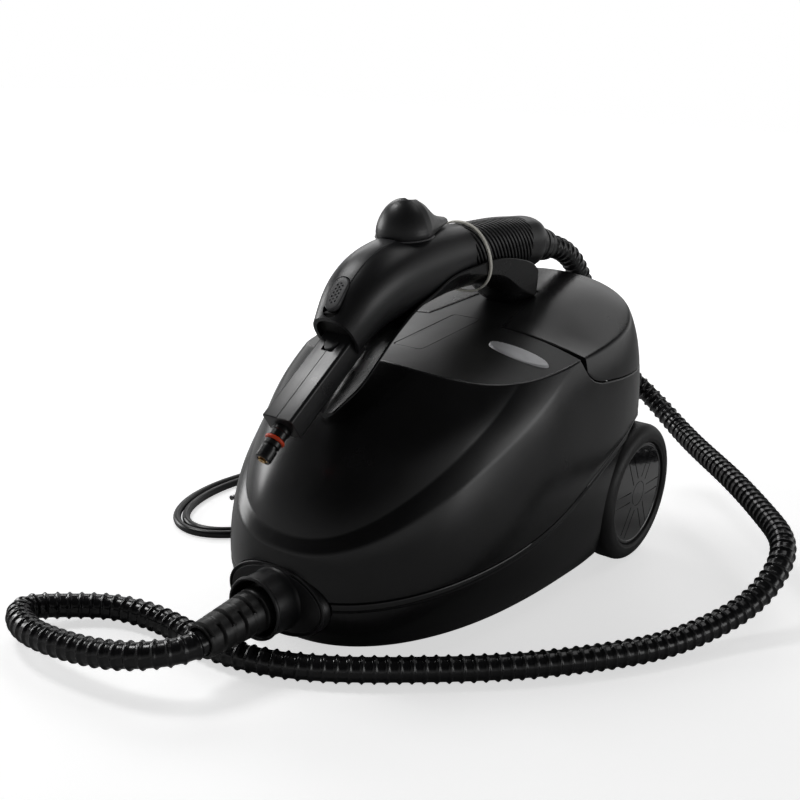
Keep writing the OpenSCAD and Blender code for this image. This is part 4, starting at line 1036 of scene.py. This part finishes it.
def hub_cap():
    """Cap face with six pairs of radial grooves and a round centre cap."""
    r, x = HUB_R - 0.5, TRACK - 2
    profile = [(0.5, x - 3), (r - 1, x - 3), (r, x - 2.2), (r, x - 1), (r - 0.4, x - 0.5),
               (r - 1.4, x - 0.2), (r - 2.4, x - 0.4), (r - 3, x - 0.8), (12, x - 0.2),
               (0.5, x - 0.1)]
    face = mesh("cap", on_x(turned_part(profile, 160)))
    cuts = []
    for k in range(6):
        for side in (-1, 1):
            bar = placed(stamp(round_rect(1.1, 27, 0.5), x - 1.3, x + 3), (side * 4.6, 28, 0))
            cuts.append(on_x(placed(bar, rz=k * 60)))
    groove = [(10.6, x - 1.1), (11.4, x - 1.1), (11.4, x + 3), (10.6, x + 3)]
    cuts.append(on_x(turned_part(groove, 96)))
    carve(face, joined(cuts))
    return as_part(face)


def build_wheels():
    for name, part, look, slot, node in (("tyre_tread_", tyre(), TYRE, "tyre_rubber", "tyre_"),
                                         ("hub_face_", hub_cap(), HUB, "hub_black", "hub_cap_")):
        for side, piece in (("left", part), ("right", mirrored(part))):
            add(name + side, placed(piece, AXLE), look, side + "_wheel", slot, node + side)


# ---- cord ----
def build_cord():
    """Cord from the base's rear, along the floor in a narrowing coil and up into the plug."""
    r = 3.6
    lying = r + 0.1
    mid, size = (-204, 18), (66, 112)

    def coil(degrees):
        t, shrink = math.radians(degrees), (degrees - 126) * 0.024
        return (mid[0] + (size[0] - shrink) * math.cos(t),
                mid[1] + (size[1] - shrink) * math.sin(t), lying)

    points = [(-45, 193, 40), (-45, 207, 40), (-45, 222, 40), (-45, 231, 37), (-56, 252, 18),
              (-84, 266, 4), (-118, 262, lying), (-160, 240, lying), (-208, 190, lying),
              (-236, 147, lying), (-256, 97, lying)]
    points += [coil(degrees) for degrees in range(172, 761, 14)]
    points += [(-168.4, 87.6, lying), (-200, 66, 8), (-197, 44, 16), (-197, 31, 18.5),
               (-197, 14, 18.5)]
    path, _ = path_through(points, 2.0)
    path[:, 2] = np.maximum(path[:, 2], r)
    add("mains_cord", tube(path, r, 20), CORD, "machine", "cord_pvc", "power_cord")


# ---- CAD pieces that keep their shape ----
KEPT = {
    CASTER: "caster_fork", TYRE: "caster_wheel", HUB: "wheel_hub_left wheel_hub_right",
    STEEL: "flap_hinge_pin trigger_pin trigger_spring gun_screws rear_axle axle_clips "
           "caster_axle base_screws plug_pins",
    MATTE: "filler_cap gun_trigger", SEAL_RED: "cap_seal", SEAL: "o_ring",
    BRASS: "brass_jet gun_valve safety_valve", CERAMIC: "thermostats", LAMP: "indicator_lamps",
    COPPER: "gun_steam_pipe steam_pipe heating_element", BOILER: "boiler", FELT: "boiler_jacket",
    ZINC: "boiler_brackets pressure_switch solenoid_valve", HANDLE: "switch_frame",
    SWITCH: "switch_rocker", BOOT: "cord_grommet", CORD: "plug_body",
}


def paint_kept():
    for look, names in KEPT.items():
        for name in names.split():
            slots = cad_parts[name].data.materials
            slots.clear()
            slots.append(look)


# ---- studio ----
CAMERA_AT = Vector((0.4992, -0.7565, 0.4120))
AZIMUTH, ELEVATION, ROLL = math.radians(35.6), math.radians(19.8), math.radians(2.9)
FOCAL_LENGTH, SENSOR = 51.3, 36
SHIFT = (0.0045, 0.0898)
FLOOR_HALF = 9000
# Area lights: place, target, size, power.
LIGHTS = {
    "left_box": ((-1.9, -0.3, 0.6), (0, -0.05, 0.15), (0.9, 0.5), 9),
    "upper_left": ((-1.25, -0.25, 1.95), (0, -0.1, 0.2), (0.6, 0.6), 14),
    "back_left": ((-1.3, 1.0, 1.15), (0, 0.0, 0.2), (0.7, 0.6), 4),
    "top_back": ((0.3, 1.0, 1.8), (0, 0.05, 0.2), (1.3, 0.6), 3),
    "back_wall": ((-0.6, 1.9, 1.15), (0, 0.1, 0.2), (0.8, 0.5), 1.6),
    "right_wall": ((2.0, 0.7, 0.35), (0, 0.05, 0.12), (1.6, 0.6), 5),
}


def build_camera():
    ca, sa = math.cos(AZIMUTH), math.sin(AZIMUTH)
    ce, se = math.cos(ELEVATION), math.sin(ELEVATION)
    back = Vector((sa * ce, -ca * ce, se))
    right = Vector((ca, sa, 0))
    up = back.cross(right)
    right, up = (right * math.cos(ROLL) + up * math.sin(ROLL),
                 up * math.cos(ROLL) - right * math.sin(ROLL))
    data = bpy.data.cameras.new("camera")
    data.lens = FOCAL_LENGTH
    data.sensor_width = SENSOR
    data.shift_x, data.shift_y = SHIFT
    data.clip_start = 0.01
    camera = bpy.data.objects.new("camera", data)
    camera.matrix_world = Matrix((right, up, back)).transposed().to_4x4()
    camera.location = CAMERA_AT
    bpy.context.scene.collection.objects.link(camera)
    bpy.context.scene.camera = camera


def area_light(name, at, target, size, power):
    data = bpy.data.lights.new(name, "AREA")
    data.shape = "RECTANGLE"
    data.size, data.size_y = size
    data.energy = power
    light = bpy.data.objects.new(name, data)
    light.location = at
    light.rotation_euler = (Vector(target) - Vector(at)).to_track_quat("-Z", "Y").to_euler()
    bpy.context.scene.collection.objects.link(light)


def seen_directly(tree, to_camera, otherwise):
    """Value that differs between the camera's own rays and all others."""
    path = tree.nodes.new("ShaderNodeLightPath")
    pick = tree.nodes.new("ShaderNodeMix")
    pick.data_type = "FLOAT"
    tree.links.new(path.outputs["Is Camera Ray"], pick.inputs[0])
    for k, value in ((2, otherwise), (3, to_camera)):
        if isinstance(value, float):
            pick.inputs[k].default_value = value
        else:
            tree.links.new(value, pick.inputs[k])
    return pick.outputs[0]


def build_floor():
    """Pale floor that the camera sees brightening towards the plain white background."""
    corners = np.array([(-1, -1, 0), (1, -1, 0), (1, 1, 0), (-1, 1, 0)], float) * FLOOR_HALF
    floor = mesh("floor", (corners, [(0, 1, 2, 3)]))
    pale = material("studio_floor", (0.86, 0.86, 0.86), 0.6, tint=0.0, smudge=0.02)
    tree = pale.node_tree
    shader = tree.nodes["Principled BSDF"]
    where = tree.nodes.new("ShaderNodeTexCoord")
    reach = tree.nodes.new("ShaderNodeVectorMath")
    reach.operation = "LENGTH"
    tree.links.new(where.outputs["Object"], reach.inputs[0])
    fade = remap(tree, reach.outputs["Value"], 0.45, 1.3, 0.62, 1.0)
    shader.inputs["Emission Color"].default_value = (1, 1, 1, 1)
    tree.links.new(seen_directly(tree, fade, 0.0), shader.inputs["Emission Strength"])
    tree.links.new(seen_directly(tree, 0.8, 0.5), shader.inputs["Base Color"])
    floor.data.materials.append(pale)


def build_world():
    """White to the camera; for the light, bright low down and dimmer above and in front."""
    world = bpy.data.worlds.new("studio")
    world.use_nodes = True
    tree = world.node_tree
    background = tree.nodes["Background"]
    background.inputs["Color"].default_value = (1, 1, 1, 1)
    where = tree.nodes.new("ShaderNodeTexCoord")
    parts = tree.nodes.new("ShaderNodeSeparateXYZ")
    tree.links.new(where.outputs["Generated"], parts.inputs[0])
    walls = remap(tree, parts.outputs["Z"], 0.05, 0.5, 0.7, 0.03)
    rear = remap(tree, parts.outputs["Y"], -0.8, 0.1, 0.6, 1.0)
    light = product(tree, walls, rear)
    tree.links.new(seen_directly(tree, 1.0, light), background.inputs["Strength"])
    bpy.context.scene.world = world


build_body()
build_top()
build_outlet()
build_hose()
add("carrying_handle", carry_handle(), HANDLE, "machine", "handle_black", "carry_handle")
for build in (build_shells, build_knob, build_spout, build_nozzle, build_slider, build_band):
    build()
build_wheels()
build_cord()
paint_kept()
build_camera()
build_floor()
build_world()
for name, setup in LIGHTS.items():
    area_light(name, *setup)
bpy.context.scene.view_settings.view_transform = "Standard"
